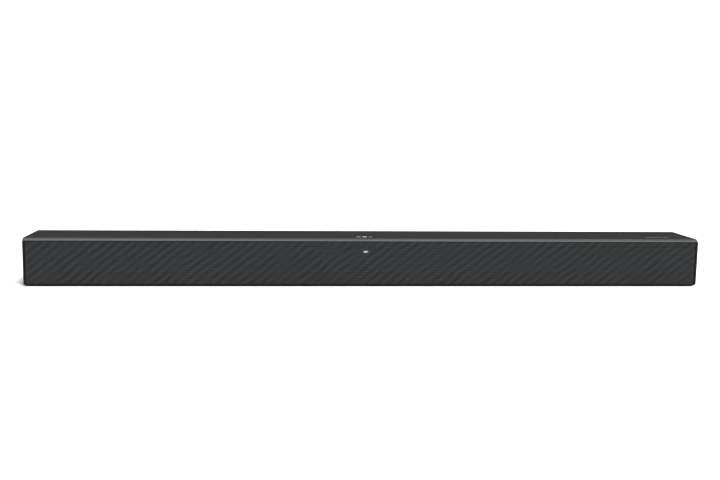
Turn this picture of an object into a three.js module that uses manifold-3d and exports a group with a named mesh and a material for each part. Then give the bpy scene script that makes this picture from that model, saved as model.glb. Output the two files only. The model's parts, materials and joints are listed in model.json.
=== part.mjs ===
// A low, wide soundbar: a sealed stereo pair of two-way speakers with its amplifier in the middle.
//
// Millimetres, +Z up. The origin is on the surface that the feet rest on, under the middle of the
// bar. +X is to the right as seen from the front, and the front, with its grille, faces -Y.

import * as THREE from 'three';
import { mergeVertices } from 'three/addons/utils/BufferGeometryUtils.js';
import Module from 'manifold-3d';

// ---------------------------------------------------------------- driving dimensions

// Whole bar
const BAR_LENGTH = 900;
const BAR_DEPTH = 88;
const BAR_HEIGHT = 64;
const FOOT_LIFT = 1.5; // height of the case above the surface

// Shells
const WALL = 2.5;
const FIT = 0.3; // gap between pieces that touch
const SHADOW_GAP = 0.4; // dark line between outer pieces
const TOP_THICKNESS = 3;
const CHAMFER_DROP = 3;
const CHAMFER_RUN = 6.5;
const LIP_HEIGHT = 0.3; // upright edge under the chamfer
const REAR_EDGE_RADIUS = 1.5;
const RIB = 1.5;
const RIB_HEIGHT = 3;
const CAP_THICKNESS = 2; // cheek of an end cap, seen from the front
const CAP_RETURN = 10; // how far an end cap wraps in behind and below
const CAP_CORNER = 3.5;
const CAP_PEG_RADIUS = 2.5;
const FLOOR_LIP = 1.2; // front edge of the floor, below the grille

// Grille
const SHEET = 0.8;
const GRILLE_FOLD = 3.4; // depth of the folded edges
const CLOTH = 0.4;
const CLOTH_SETBACK = 0.3;
const FRAME_THICKNESS = 2;
const FRAME_BORDER = 5;
const CENTRE_RIB_X = 120;
const FRAME_PEG_RADIUS = 2;

// Baffle and drivers
const BAFFLE_SETBACK = 8; // front face of the bar to the face that the drivers sit on
const BAFFLE_THICKNESS = 3;
const WOOFER_WIDTH = 100;
const WOOFER_HEIGHT = 46;
const WOOFER_FLANGE = 1.3;
const WOOFER_DEPTH = 22; // flange to the back of the basket
const MAGNET_DIAMETER = 44;
const COIL_DIAMETER = 20;
const TWEETER_DIAMETER = 44;
const TWEETER_CUP_DIAMETER = 32;
const DOME_DIAMETER = 25;
const TWEETER_FROM_END = 80;
const DRIVER_GAP = 33; // between the edges of a woofer and its tweeter

// Status light and remote control receiver
const LIGHT_WIDTH = 6.7;
const LIGHT_HEIGHT = 2.9;
const LIGHT_BELOW_TOP = 17.1;
const LIGHT_CLEARANCE = 0.3;
const RECEIVER_X = 15;

// Keys
const KEY_PITCH = 8.2;
const KEY_WIDTH = 7.4;
const KEY_LENGTH = 10;
const KEY_FROM_FRONT = 24;
const KEY_SINK = 0.2; // key face below the top face
const KEY_STEM_RADIUS = 1.5;
const SWITCH_SIZE = 6;
const SWITCH_HEIGHT = 3.6;

// Boards
const BOARD = 1.6;
const BOARD_HEIGHT = 12; // underside of the lying boards
const MAIN_BOARD_X = [-80, 30];
const POWER_BOARD_X = [42, 114];
const BOARD_FRONT = 20; // behind the front face of the bar

// Rear bays
const BAY_DEPTH = 13;
const BAY_WALL = 2;
const BAY_Z = [13, 38];
const SOCKET_BAY_X = [-72, 22];
const POWER_BAY_X = [60, 100];
const SOCKET_DEPTH = 14;

// Fasteners, feet and wall plates
const SCREW_RADIUS = 1.5;
const SCREW_HEAD_RADIUS = 3;
const SCREW_LENGTH = 16;
const BOSS_RADIUS = 4.5;
const BOSS_SPLIT = 12; // where the case's bosses meet the cover's
const BOSS_FROM_END = 25;
const BOSS_FROM_BACK = 12;
const BOSS_FROM_WOOFER = 12;
const FOOT_LENGTH = 34;
const FOOT_WIDTH = 12;
const FOOT_FROM_END = 70;
const FOOT_FROM_EDGE = 13;
const FOOT_SEAT = 0.8;
const HANGER_FROM_END = 100;
const HANGER_BELOW_TOP = 24;
const HANGER_SIZE = [46, 24];
const HANGER_PLATE = 1.2;
const HANGER_CUP_WALL = 1.2;
const KEYHOLE_RADIUS = 4.5;
const KEYHOLE_SLOT = 5;
const KEYHOLE_TRAVEL = 9;
const HANGER_CUP_DEPTH = 9;

// ---------------------------------------------------------------- derived places

const END = BAR_LENGTH / 2;
const FRONT = -BAR_DEPTH / 2;
const BACK = BAR_DEPTH / 2;
const TOP = BAR_HEIGHT;
const UNDERSIDE = FOOT_LIFT;
const FLOOR_TOP = UNDERSIDE + WALL;
const CEILING = TOP - TOP_THICKNESS;
const LIP_BOTTOM = TOP - CHAMFER_DROP - LIP_HEIGHT;
const CASE_TOP = LIP_BOTTOM - SHADOW_GAP;
const CASE_END = END - CAP_RETURN - FIT;

const GRILLE_END = END - CAP_THICKNESS - SHADOW_GAP;
const GRILLE_Z = [UNDERSIDE + FLOOR_LIP + SHADOW_GAP, CASE_TOP];
const CLOTH_Y = FRONT + SHEET + CLOTH_SETBACK;
const FRAME_END = GRILLE_END - SHEET - FIT;
const FRAME_Z = [GRILLE_Z[0] + SHEET + FIT, GRILLE_Z[1] - SHEET - FIT];
const FRAME_BACK = CLOTH_Y + CLOTH + 0.2 + FRAME_THICKNESS;

const BAFFLE_END = END - CAP_THICKNESS - 1;
const BAFFLE_Z = [FLOOR_TOP + FIT, LIP_BOTTOM - FIT];
const BAFFLE_FACE = FRONT + BAFFLE_SETBACK;
const BAFFLE_BACK = BAFFLE_FACE + BAFFLE_THICKNESS;
const DRIVER_Z = (BAFFLE_Z[0] + BAFFLE_Z[1]) / 2;
const DRIVER_Y = BAFFLE_FACE - FIT; // back of the drivers' flanges
const TWEETER_X = END - TWEETER_FROM_END;
const WOOFER_X = TWEETER_X - TWEETER_DIAMETER / 2 - DRIVER_GAP - WOOFER_WIDTH / 2;
const OUTER_RIB_X = TWEETER_X - TWEETER_DIAMETER / 2 - DRIVER_GAP / 2;

const LIGHT_Z = TOP - LIGHT_BELOW_TOP;
const LIGHT_BOARD_Y = BAFFLE_BACK + 1.5;
const KEY_Y = FRONT + KEY_FROM_FRONT;
const KEY_FLANGE_TOP = CEILING - FIT;
const KEY_BOARD_TOP = CEILING - 7.4;
const SWITCH_TOP = KEY_BOARD_TOP + FIT + SWITCH_HEIGHT;
const BOARD_TOP = BOARD_HEIGHT + BOARD;
const BAY_FLOOR = BACK - BAY_DEPTH;
const BOARD_BACK = BAY_FLOOR - BAY_WALL - FIT;
const SOCKET_Z = BOARD_TOP + FIT;
const INLET_X = (POWER_BAY_X[0] + POWER_BAY_X[1]) / 2;
const INLET_Z = (BAY_Z[0] + BAY_Z[1]) / 2;
const BOSS_X = WOOFER_X - WOOFER_WIDTH / 2 - BOSS_FROM_WOOFER;
const HANGER_X = END - HANGER_FROM_END;
const HANGER_Z = TOP - HANGER_BELOW_TOP;
const HANGER_CUP_HALF = KEYHOLE_RADIUS + 1.5 + HANGER_CUP_WALL;
const HANGER_CUP_Z = [
  HANGER_Z - KEYHOLE_RADIUS - 4 - HANGER_CUP_WALL, HANGER_Z + KEYHOLE_TRAVEL + HANGER_CUP_WALL,
];
const CAP_PEG_Y = BAFFLE_BACK + 20;
const PEG_PLACES = [-OUTER_RIB_X, -CENTRE_RIB_X, CENTRE_RIB_X, OUTER_RIB_X];

// Screws go up through the case's bosses into the cover's, in six places.
const SCREW_PLACES = {
  rear_left: [-(END - BOSS_FROM_END), BACK - BOSS_FROM_BACK],
  rear_right: [END - BOSS_FROM_END, BACK - BOSS_FROM_BACK],
  rear_centre_left: [-BOSS_X, BACK - BOSS_FROM_BACK],
  rear_centre_right: [BOSS_X, BACK - BOSS_FROM_BACK],
  front_centre_left: [-BOSS_X, BAFFLE_BACK + 7],
  front_centre_right: [BOSS_X, BAFFLE_BACK + 7],
};

// ---------------------------------------------------------------- finishes

function finish(color, roughness, metalness = 0) {
  return new THREE.MeshStandardMaterial({ color, roughness, metalness });
}

const FINISH = {
  coverPlastic: finish(0x3e3e3e, 0.6),
  casePlastic: finish(0x151516, 0.6),
  grillePaint: finish(0x383a3c, 0.55, 0.2),
  cloth: finish(0x0b0b0b, 0.95),
  keyPlastic: finish(0x3a3a3a, 0.5),
  rubber: finish(0x101010, 0.85),
  platedSteel: finish(0xa8aaac, 0.35, 1),
  blackSteel: finish(0x1a1a1c, 0.5, 0.6),
  ferrite: finish(0x2c2d30, 0.7, 0.3),
  surround: finish(0x0d0d0d, 0.75),
  cone: finish(0x1c1c1e, 0.7),
  silk: finish(0x161616, 0.8),
  board: finish(0x123a22, 0.5),
  chipBlack: finish(0x111112, 0.6),
  aluminium: finish(0xb4b6b8, 0.4, 1),
  tape: finish(0xc8a22a, 0.5),
  sleeve: finish(0x14203a, 0.35),
  lens: finish(0xf2f4f6, 0.3),
  receiver: finish(0x120c10, 0.15),
  lead: finish(0x181818, 0.6),
};

// ---------------------------------------------------------------- shaping

const wasm = await Module();
wasm.setup();

const X = new THREE.Vector3(1, 0, 0);
const Y = new THREE.Vector3(0, 1, 0);
const Z = new THREE.Vector3(0, 0, 1);
const ALONG_X = new THREE.Matrix4().makeBasis(Y, Z, X); // profile is (y, z)
const ALONG_Y = new THREE.Matrix4().makeBasis(X, Z, Y.clone().negate()); // profile is (x, z)
const ROUND = 2 * Math.PI;

function toSolid(geometry) {
  const bare = geometry.clone();
  bare.deleteAttribute('normal');
  bare.deleteAttribute('uv');
  const merged = mergeVertices(bare, 1e-4);
  return new wasm.Manifold(new wasm.Mesh({
    numProp: 3,
    vertProperties: merged.attributes.position.array,
    triVerts: new Uint32Array(merged.index.array),
  }));
}

function toGeometry(solid) {
  const mesh = solid.getMesh();
  const geometry = new THREE.BufferGeometry();
  geometry.setAttribute('position', new THREE.BufferAttribute(mesh.vertProperties, 3));
  geometry.setIndex(new THREE.BufferAttribute(mesh.triVerts, 1));
  geometry.computeVertexNormals();
  return geometry;
}

function block([x0, x1], [y0, y1], [z0, z1]) {
  const geometry = new THREE.BoxGeometry(x1 - x0, y1 - y0, z1 - z0);
  return toSolid(geometry.translate((x0 + x1) / 2, (y0 + y1) / 2, (z0 + z1) / 2));
}

function extrusion(shape, depth, curveSegments) {
  return new THREE.ExtrudeGeometry(shape, { depth, curveSegments, bevelEnabled: false });
}

function alongX(shape, [x0, x1], curveSegments = 3) {
  return toSolid(extrusion(shape, x1 - x0, curveSegments).applyMatrix4(ALONG_X).translate(x0, 0, 0));
}

function alongY(shape, [y0, y1], curveSegments = 3) {
  return toSolid(extrusion(shape, y1 - y0, curveSegments).applyMatrix4(ALONG_Y).translate(0, y1, 0));
}

function alongZ(shape, [z0, z1], curveSegments = 3) {
  return toSolid(extrusion(shape, z1 - z0, curveSegments).translate(0, 0, z0));
}

function circle(u, v, radius) {
  return new THREE.Shape().absarc(u, v, radius, 0, ROUND);
}

// Outline with half-round ends, upright or lying.
function stadium(u, v, width, height) {
  const radius = Math.min(width, height) / 2;
  const du = width / 2 - radius;
  const dv = height / 2 - radius;
  const turn = du > 0 ? -Math.PI / 2 : 0;
  return new THREE.Shape()
    .absarc(u + du, v + dv, radius, turn, turn + Math.PI)
    .absarc(u - du, v - dv, radius, turn + Math.PI, turn + ROUND);
}

// A turned piece whose axis runs along Y: profile steps are [radius, y].
function turned(profile, sides = 16) {
  return toSolid(new THREE.LatheGeometry(profile.map(([r, y]) => new THREE.Vector2(r, y)), sides));
}

// A ring of constant section whose outline is a racetrack: each step of the closed section is
// [width, height, y], the size of the outline there and its depth.
function racetrackRing(section, count = 20) {
  const positions = [];
  const index = [];
  for (const [width, height, y] of section) {
    const radius = height / 2;
    const straight = (width - height) / 2;
    for (let i = 0; i < count; i += 1) {
      const angle = ((i + 0.5) / count) * ROUND;
      const side = Math.sign(Math.cos(angle));
      positions.push(side * straight + radius * Math.cos(angle), y, radius * Math.sin(angle));
    }
  }
  section.forEach((_, s) => {
    const here = s * count;
    const next = ((s + 1) % section.length) * count;
    for (let i = 0; i < count; i += 1) {
      const j = (i + 1) % count;
      index.push(here + i, next + i, here + j, here + j, next + i, next + j);
    }
  });
  const geometry = new THREE.BufferGeometry();
  geometry.setAttribute('position', new THREE.Float32BufferAttribute(positions, 3));
  geometry.setIndex(index);
  return toSolid(geometry);
}

function lead(points, radius, steps) {
  const extrudePath = new THREE.CatmullRomCurve3(points.map((p) => new THREE.Vector3(...p)));
  return toSolid(new THREE.ExtrudeGeometry(circle(0, 0, radius), {
    steps, extrudePath, curveSegments: 4, bevelEnabled: false,
  }));
}

function join(...solids) {
  return solids.reduce((whole, piece) => whole.add(piece));
}

function cut(solid, ...tools) {
  return tools.reduce((rest, tool) => rest.subtract(tool), solid);
}

const bar = new THREE.Group();

function addPiece(name, solid, material, parent = bar) {
  const mesh = new THREE.Mesh(toGeometry(solid), material.clone());
  mesh.name = name;
  parent.add(mesh);
  return mesh;
}

function groupAt(x, y, z) {
  const group = new THREE.Group();
  group.position.set(x, y, z);
  bar.add(group);
  return group;
}

const both = (make) => [-1, 1].map(make);

// ---------------------------------------------------------------- top cover

// A lid with a chamfered front edge, hollow underneath, with locating ribs and screw bosses.
function topCover() {
  const profile = new THREE.Shape()
    .moveTo(FRONT, LIP_BOTTOM)
    .lineTo(BACK, LIP_BOTTOM)
    .lineTo(BACK, TOP - REAR_EDGE_RADIUS)
    .absarc(BACK - REAR_EDGE_RADIUS, TOP - REAR_EDGE_RADIUS, REAR_EDGE_RADIUS, 0, Math.PI / 2)
    .lineTo(FRONT + CHAMFER_RUN, TOP)
    .lineTo(FRONT, TOP - CHAMFER_DROP);
  const hollow = block(
    [-END + WALL, END - WALL],
    [FRONT + CHAMFER_RUN, BACK - WALL],
    [LIP_BOTTOM - 1, CEILING],
  );
  const ribZ = [LIP_BOTTOM - RIB_HEIGHT, CEILING + 0.5];
  const ribBack = BACK - WALL - FIT;
  const ribEnd = CASE_END - WALL - FIT;
  const rearRib = block([-ribEnd, ribEnd], [ribBack - RIB, ribBack], ribZ);
  const endRibs = both((side) => block(
    [side * ribEnd, side * (ribEnd - RIB)].sort((a, b) => a - b),
    [BAFFLE_BACK + 3, ribBack],
    ribZ,
  ));
  const bosses = Object.values(SCREW_PLACES).map(([x, y]) => cut(
    alongZ(circle(x, y, BOSS_RADIUS - 1), [BOSS_SPLIT + FIT, CEILING + 0.5], 4),
    alongZ(circle(x, y, SCREW_RADIUS + 0.1), [BOSS_SPLIT, BOSS_SPLIT + SCREW_LENGTH], 4),
  ));
  const postX = KEY_PITCH + KEY_WIDTH / 2 + 3.6;
  const keyPosts = both((side) => alongZ(
    circle(side * postX, KEY_Y, 2), [KEY_BOARD_TOP + FIT, CEILING + 0.5], 4,
  ));
  const keyOpening = block(
    [-KEY_PITCH - KEY_WIDTH / 2 - FIT, KEY_PITCH + KEY_WIDTH / 2 + FIT],
    [KEY_Y - KEY_LENGTH / 2 - FIT, KEY_Y + KEY_LENGTH / 2 + FIT],
    [CEILING - 1, TOP + 1],
  );
  const lid = cut(alongX(profile, [-END, END]), hollow);
  return cut(join(lid, rearRib, ...endRibs, ...bosses, ...keyPosts), keyOpening);
}

addPiece('top_cover', topCover(), FINISH.coverPlastic);

// ---------------------------------------------------------------- lower case

// The case's rear, floor and inner ends in one moulding, open at the top and at the front.
function lowerCase() {
  const floor = block([-CASE_END, CASE_END], [FRONT, BACK], [UNDERSIDE, FLOOR_TOP]);
  const rear = block([-CASE_END, CASE_END], [BACK - WALL, BACK], [UNDERSIDE, CASE_TOP]);
  const ends = both((side) => block(
    [side * CASE_END, side * (CASE_END - WALL)].sort((a, b) => a - b),
    [BAFFLE_BACK + FIT, BACK],
    [UNDERSIDE, CASE_TOP],
  ));
  const bosses = Object.values(SCREW_PLACES).map(([x, y]) => (
    alongZ(circle(x, y, BOSS_RADIUS), [UNDERSIDE + 1, BOSS_SPLIT], 4)
  ));
  const boardPosts = [MAIN_BOARD_X, POWER_BOARD_X].flatMap(([left, right]) => (
    [left + 5, right - 5].flatMap((x) => [FRONT + BOARD_FRONT + 5, 16].map((y) => (
      alongZ(circle(x, y, 3), [UNDERSIDE + 1, BOARD_HEIGHT - FIT], 3)
    )))
  ));
  const whole = join(floor, rear, ...ends, ...bosses, ...boardPosts);

  const grilleSeat = block(
    [-CASE_END - 1, CASE_END + 1],
    [FRONT - 1, FRONT + GRILLE_FOLD + FIT],
    [UNDERSIDE + FLOOR_LIP, FLOOR_TOP + 1],
  );
  const screwHoles = Object.values(SCREW_PLACES).flatMap(([x, y]) => [
    alongZ(circle(x, y, SCREW_HEAD_RADIUS + FIT), [0, UNDERSIDE + 4], 4),
    alongZ(circle(x, y, SCREW_RADIUS + FIT), [0, BOSS_SPLIT + 1], 4),
  ]);
  const bayOpenings = [SOCKET_BAY_X, POWER_BAY_X].map(([left, right]) => (
    block([left, right], [BACK - WALL - 1, BACK + 1], BAY_Z)
  ));
  const pegHoles = both((side) => alongX(
    circle(CAP_PEG_Y, DRIVER_Z, CAP_PEG_RADIUS + FIT),
    [side * CASE_END, side * (CASE_END - WALL)].sort((a, b) => a - b).map((x, i) => x + 2 * i - 1),
    5,
  ));
  const footSeats = both((side) => both((face) => alongZ(
    stadium(
      side * (END - FOOT_FROM_END), face * (BACK - FOOT_FROM_EDGE),
      FOOT_LENGTH + 2 * FIT, FOOT_WIDTH + 2 * FIT,
    ),
    [0, UNDERSIDE + FOOT_SEAT],
    4,
  ))).flat();
  const hangerCuts = both((side) => [
    block(
      [side * HANGER_X - HANGER_SIZE[0] / 2 - FIT, side * HANGER_X + HANGER_SIZE[0] / 2 + FIT],
      [BACK - HANGER_PLATE - FIT, BACK + 1],
      [HANGER_Z - HANGER_SIZE[1] / 2 - FIT, HANGER_Z + HANGER_SIZE[1] / 2 + FIT],
    ),
    block(
      [side * HANGER_X - HANGER_CUP_HALF - FIT, side * HANGER_X + HANGER_CUP_HALF + FIT],
      [BACK - WALL - 1, BACK + 1],
      [HANGER_CUP_Z[0] - FIT, HANGER_CUP_Z[1] + FIT],
    ),
  ]).flat();
  return cut(
    whole, grilleSeat, ...screwHoles, ...bayOpenings, ...pegHoles, ...footSeats, ...hangerCuts,
  );
}

addPiece('lower_case', lowerCase(), FINISH.casePlastic);

// ---------------------------------------------------------------- end caps

// A cheek that wraps in below and behind the case, with a peg through the case's inner end.
function endCap(side) {
  const outline = new THREE.Shape()
    .moveTo(END - CAP_RETURN, UNDERSIDE)
    .lineTo(END - CAP_CORNER, UNDERSIDE)
    .absarc(END - CAP_CORNER, UNDERSIDE + CAP_CORNER, CAP_CORNER, -Math.PI / 2, 0)
    .lineTo(END, CASE_TOP)
    .lineTo(END - CAP_RETURN, CASE_TOP);
  const hollow = block(
    [END - CAP_RETURN - 1, END - CAP_THICKNESS], [FRONT - 1, BACK - WALL], [FLOOR_TOP, TOP],
  );
  const grilleSeat = block(
    [END - CAP_RETURN - 1, END - CAP_THICKNESS],
    [FRONT - 1, FRONT + GRILLE_FOLD + FIT],
    [UNDERSIDE + FLOOR_LIP, FLOOR_TOP + 1],
  );
  const peg = alongX(
    circle(CAP_PEG_Y, DRIVER_Z, CAP_PEG_RADIUS),
    [CASE_END - WALL - 2, END - CAP_THICKNESS + 0.5],
    5,
  );
  const right = join(cut(alongY(outline, [FRONT, BACK], 4), hollow, grilleSeat), peg);
  return side > 0 ? right : right.mirror([1, 0, 0]);
}

addPiece('left_end_cap', endCap(-1), FINISH.casePlastic);
addPiece('right_end_cap', endCap(1), FINISH.casePlastic);

// ---------------------------------------------------------------- grille, cloth and frame

function lightHole(y) {
  const half = LIGHT_CLEARANCE + LIGHT_WIDTH / 2;
  const tall = LIGHT_CLEARANCE + LIGHT_HEIGHT / 2;
  return block([-half, half], y, [LIGHT_Z - tall, LIGHT_Z + tall]);
}

// One sheet with its four edges folded back.
function frontGrille() {
  const outer = block([-GRILLE_END, GRILLE_END], [FRONT, FRONT + GRILLE_FOLD], GRILLE_Z);
  const inner = block(
    [-GRILLE_END + SHEET, GRILLE_END - SHEET],
    [FRONT + SHEET, FRONT + GRILLE_FOLD + 1],
    [GRILLE_Z[0] + SHEET, GRILLE_Z[1] - SHEET],
  );
  return cut(outer, inner, lightHole([FRONT - 1, FRONT + SHEET + 1]));
}

function grilleCloth() {
  const sheet = block([-FRAME_END, FRAME_END], [CLOTH_Y, CLOTH_Y + CLOTH], FRAME_Z);
  return cut(sheet, lightHole([CLOTH_Y - 1, CLOTH_Y + CLOTH + 1]));
}

// A border with four ribs, each with a peg that goes through the baffle.
function grilleFrame() {
  const y = [FRAME_BACK - FRAME_THICKNESS, FRAME_BACK];
  const border = cut(
    block([-FRAME_END, FRAME_END], y, FRAME_Z),
    block(
      [-FRAME_END + FRAME_BORDER, FRAME_END - FRAME_BORDER],
      [y[0] - 1, y[1] + 1],
      [FRAME_Z[0] + FRAME_BORDER, FRAME_Z[1] - FRAME_BORDER],
    ),
  );
  const ribs = PEG_PLACES.flatMap((x) => [
    block([x - 3, x + 3], y, [FRAME_Z[0] + 1, FRAME_Z[1] - 1]),
    alongY(circle(x, DRIVER_Z, FRAME_PEG_RADIUS), [y[1] - 0.5, BAFFLE_BACK + 1], 4),
  ]);
  return join(border, ...ribs);
}

addPiece('front_grille', frontGrille(), FINISH.grillePaint);
addPiece('grille_cloth', grilleCloth(), FINISH.cloth);
addPiece('grille_frame', grilleFrame(), FINISH.casePlastic);

// ---------------------------------------------------------------- front baffle

// A tray open to the front, whose floor carries the drivers.
function frontBaffle() {
  const outer = block([-BAFFLE_END, BAFFLE_END], [FRAME_BACK + FIT, BAFFLE_BACK], BAFFLE_Z);
  const tray = block(
    [-BAFFLE_END + BAFFLE_THICKNESS, BAFFLE_END - BAFFLE_THICKNESS],
    [FRONT, BAFFLE_FACE],
    [BAFFLE_Z[0] + BAFFLE_THICKNESS, BAFFLE_Z[1] - BAFFLE_THICKNESS],
  );
  const through = [BAFFLE_FACE - 1, BAFFLE_BACK + 1];
  const driverHoles = both((side) => [
    alongY(stadium(side * WOOFER_X, DRIVER_Z, WOOFER_WIDTH - 8, WOOFER_HEIGHT - 8), through, 4),
    alongY(circle(side * TWEETER_X, DRIVER_Z, TWEETER_CUP_DIAMETER / 2 + 1), through, 8),
  ]).flat();
  const pegHoles = PEG_PLACES.map((x) => (
    alongY(circle(x, DRIVER_Z, FRAME_PEG_RADIUS + FIT), through, 4)
  ));
  const receiverHole = alongY(circle(RECEIVER_X, LIGHT_Z, 4.6), through, 6);
  const boardPosts = [-9, 24].map((x) => (
    alongY(circle(x, LIGHT_Z, 2), [BAFFLE_BACK - 1, LIGHT_BOARD_Y - FIT], 4)
  ));
  return join(
    cut(outer, tray, ...driverHoles, ...pegHoles, receiverHole, lightHole(through)),
    ...boardPosts,
  );
}

addPiece('front_baffle', frontBaffle(), FINISH.casePlastic);

// ---------------------------------------------------------------- woofers

// Every driver part below is drawn about the driver's own axis, with y = 0 at the back of its
// flange and -y to the front.
const CONE_SIZE = [WOOFER_WIDTH - 21, WOOFER_HEIGHT - 21];
const SURROUND_LAND = -WOOFER_FLANGE - FIT;
const SURROUND_THICKNESS = 0.6;
const ROLL = 3;

// Pressed steel: flange, tapering wall with slots in it, and a ring that the magnet bolts to.
function basket() {
  const [w, h] = [WOOFER_WIDTH, WOOFER_HEIGHT];
  const steel = 1.2;
  const shell = racetrackRing([
    [w, h, 0],
    [w - 10, h - 10, 0],
    [w - 12, h - 11, 8],
    [w - 50, h - 12, WOOFER_DEPTH - 2],
    [w - 64, h - 10, WOOFER_DEPTH],
    [w - 66, h - 12, WOOFER_DEPTH],
    [w - 52.4, h - 14.4, WOOFER_DEPTH - 2 - steel],
    [w - 14.4, h - 13.4, 8 - steel],
    [w - 12.4, h - 12.4, -WOOFER_FLANGE],
    [w, h, -WOOFER_FLANGE],
  ]);
  const slots = both((side) => block(
    [side * 20 - 8, side * 20 + 8], [9, WOOFER_DEPTH - 7], [-h, h],
  ));
  return cut(shell, ...slots);
}

// Ferrite ring between two steel plates, with a pole in the middle and a gap for the coil.
function magnet() {
  const plate = (MAGNET_DIAMETER - 4) / 2;
  const start = WOOFER_DEPTH + FIT;
  return turned([
    [0, start],
    [COIL_DIAMETER / 2 - 0.8, start],
    [COIL_DIAMETER / 2 - 0.8, start + 12],
    [COIL_DIAMETER / 2 + 1, start + 12],
    [COIL_DIAMETER / 2 + 1, start],
    [plate, start],
    [plate, start + 3],
    [MAGNET_DIAMETER / 2, start + 3],
    [MAGNET_DIAMETER / 2, start + 13],
    [plate, start + 13],
    [plate, start + 16],
    [0, start + 16],
  ]);
}

// Half-round rubber roll from the flange in to the cone's edge.
function surround() {
  const [w, h] = CONE_SIZE;
  const land = SURROUND_LAND;
  const section = [[w + 18, h + 18, land], [w + 13, h + 13, land]];
  const arc = (radius, from, to) => {
    const middle = 6.5;
    for (let k = 0; k <= 3; k += 1) {
      const angle = from + ((to - from) * k) / 3;
      const out = middle + radius * Math.cos(angle);
      section.push([w + 2 * out - 1, h + 2 * out - 1, land - radius * Math.sin(angle)]);
    }
  };
  arc(ROLL - SURROUND_THICKNESS, 0.1, Math.PI - 0.1);
  section.push([w + 2, h + 2, land], [w - 4, h - 4, land]);
  section.push([w - 4, h - 4, land - SURROUND_THICKNESS], [w + 2, h + 2, land - SURROUND_THICKNESS]);
  arc(ROLL, Math.PI - 0.3, 0.3);
  section.push([w + 18, h + 18, land - SURROUND_THICKNESS]);
  return racetrackRing(section);
}

// Paper cone with its dust cap and the voice coil glued into its neck.
function cone() {
  const [w, h] = CONE_SIZE;
  const neck = COIL_DIAMETER;
  const edge = SURROUND_LAND + FIT;
  const thickness = 0.7;
  const body = racetrackRing([
    [w, h, edge + thickness],
    [neck + 22, neck + 2, 8],
    [neck, neck, 11 + thickness],
    [neck - 2, neck - 2, 11],
    [neck + 20, neck + 0.8, 7],
    [w - 2, h - 2, edge],
    [w, h, edge],
  ]);
  const capRadius = neck / 2 + 2;
  const capSteps = [0, 1, 2, 3].map((k) => {
    const angle = (k / 3) * (Math.PI / 2);
    return [capRadius * Math.sin(angle), 8 - 5 * Math.cos(angle)];
  });
  const dustCap = turned([...capSteps, [capRadius, 9], [0, 9]]);
  const coil = turned([
    [neck / 2 - 0.4, 8.5],
    [neck / 2 + 0.5, 8.5],
    [neck / 2 + 0.5, WOOFER_DEPTH + 5],
    [neck / 2 - 0.4, WOOFER_DEPTH + 5],
    [neck / 2 - 0.4, 8.5],
  ]);
  return join(body, dustCap, coil);
}

// ---------------------------------------------------------------- tweeters

// Round face plate and magnet cup, hollow where the dome's coil sits.
function tweeterBody() {
  const coil = DOME_DIAMETER / 2;
  return turned([
    [0, 2],
    [coil - 0.6, 2],
    [coil - 0.6, 9],
    [coil + 1, 9],
    [coil + 1, -0.5],
    [coil + 4, -3],
    [TWEETER_DIAMETER / 2, -3],
    [TWEETER_DIAMETER / 2, 0],
    [TWEETER_CUP_DIAMETER / 2, 0],
    [TWEETER_CUP_DIAMETER / 2, 16],
    [0, 16],
  ]);
}

// Silk dome, open at the back, with its coil.
function tweeterDome() {
  const radius = DOME_DIAMETER / 2;
  const arc = (size, height) => [0, 1, 2, 3, 4].map((k) => {
    const angle = (k / 4) * (Math.PI / 2);
    return [size * Math.sin(angle), -0.6 - height * Math.cos(angle)];
  });
  const outer = arc(radius + 0.4, 4.8);
  const inner = arc(radius - 0.2, 4.2).reverse();
  return turned([...outer, [radius + 0.4, 5], [radius - 0.2, 5], ...inner]);
}

for (const [prefix, side] of [['left', -1], ['right', 1]]) {
  const woofer = groupAt(side * WOOFER_X, DRIVER_Y, DRIVER_Z);
  addPiece(`${prefix}_woofer_basket`, basket(), FINISH.blackSteel, woofer);
  addPiece(`${prefix}_woofer_magnet`, magnet(), FINISH.ferrite, woofer);
  addPiece(`${prefix}_woofer_surround`, surround(), FINISH.surround, woofer);
  addPiece(`${prefix}_woofer_cone`, cone(), FINISH.cone, woofer);
  const tweeter = groupAt(side * TWEETER_X, DRIVER_Y, DRIVER_Z);
  addPiece(`${prefix}_tweeter_body`, tweeterBody(), FINISH.blackSteel, tweeter);
  addPiece(`${prefix}_tweeter_dome`, tweeterDome(), FINISH.silk, tweeter);
}

// ---------------------------------------------------------------- status light and receiver

// Light pipe from the board to the face of the grille, with a shoulder behind the baffle.
function lightPipe() {
  const half = LIGHT_WIDTH / 2;
  const tall = LIGHT_HEIGHT / 2;
  return join(
    block([-half, half], [FRONT, LIGHT_BOARD_Y - 0.4], [LIGHT_Z - tall, LIGHT_Z + tall]),
    block(
      [-half - 2, half + 2],
      [BAFFLE_BACK + FIT, LIGHT_BOARD_Y - 0.4],
      [LIGHT_Z - tall - 2, LIGHT_Z + tall + 2],
    ),
  );
}

function receiver() {
  return join(
    block(
      [RECEIVER_X - 3, RECEIVER_X + 3],
      [BAFFLE_BACK, LIGHT_BOARD_Y - FIT],
      [LIGHT_Z - 3.5, LIGHT_Z + 3.5],
    ),
    alongY(circle(RECEIVER_X, LIGHT_Z, 2.6), [BAFFLE_FACE, BAFFLE_BACK + 0.5], 5),
  );
}

addPiece('light_pipe', lightPipe(), FINISH.lens);
addPiece('remote_receiver', receiver(), FINISH.receiver);
addPiece(
  'light_board',
  block([-13, 28], [LIGHT_BOARD_Y, LIGHT_BOARD_Y + BOARD], [LIGHT_Z - 7, LIGHT_Z + 6]),
  FINISH.board,
);

// ---------------------------------------------------------------- keys

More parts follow.
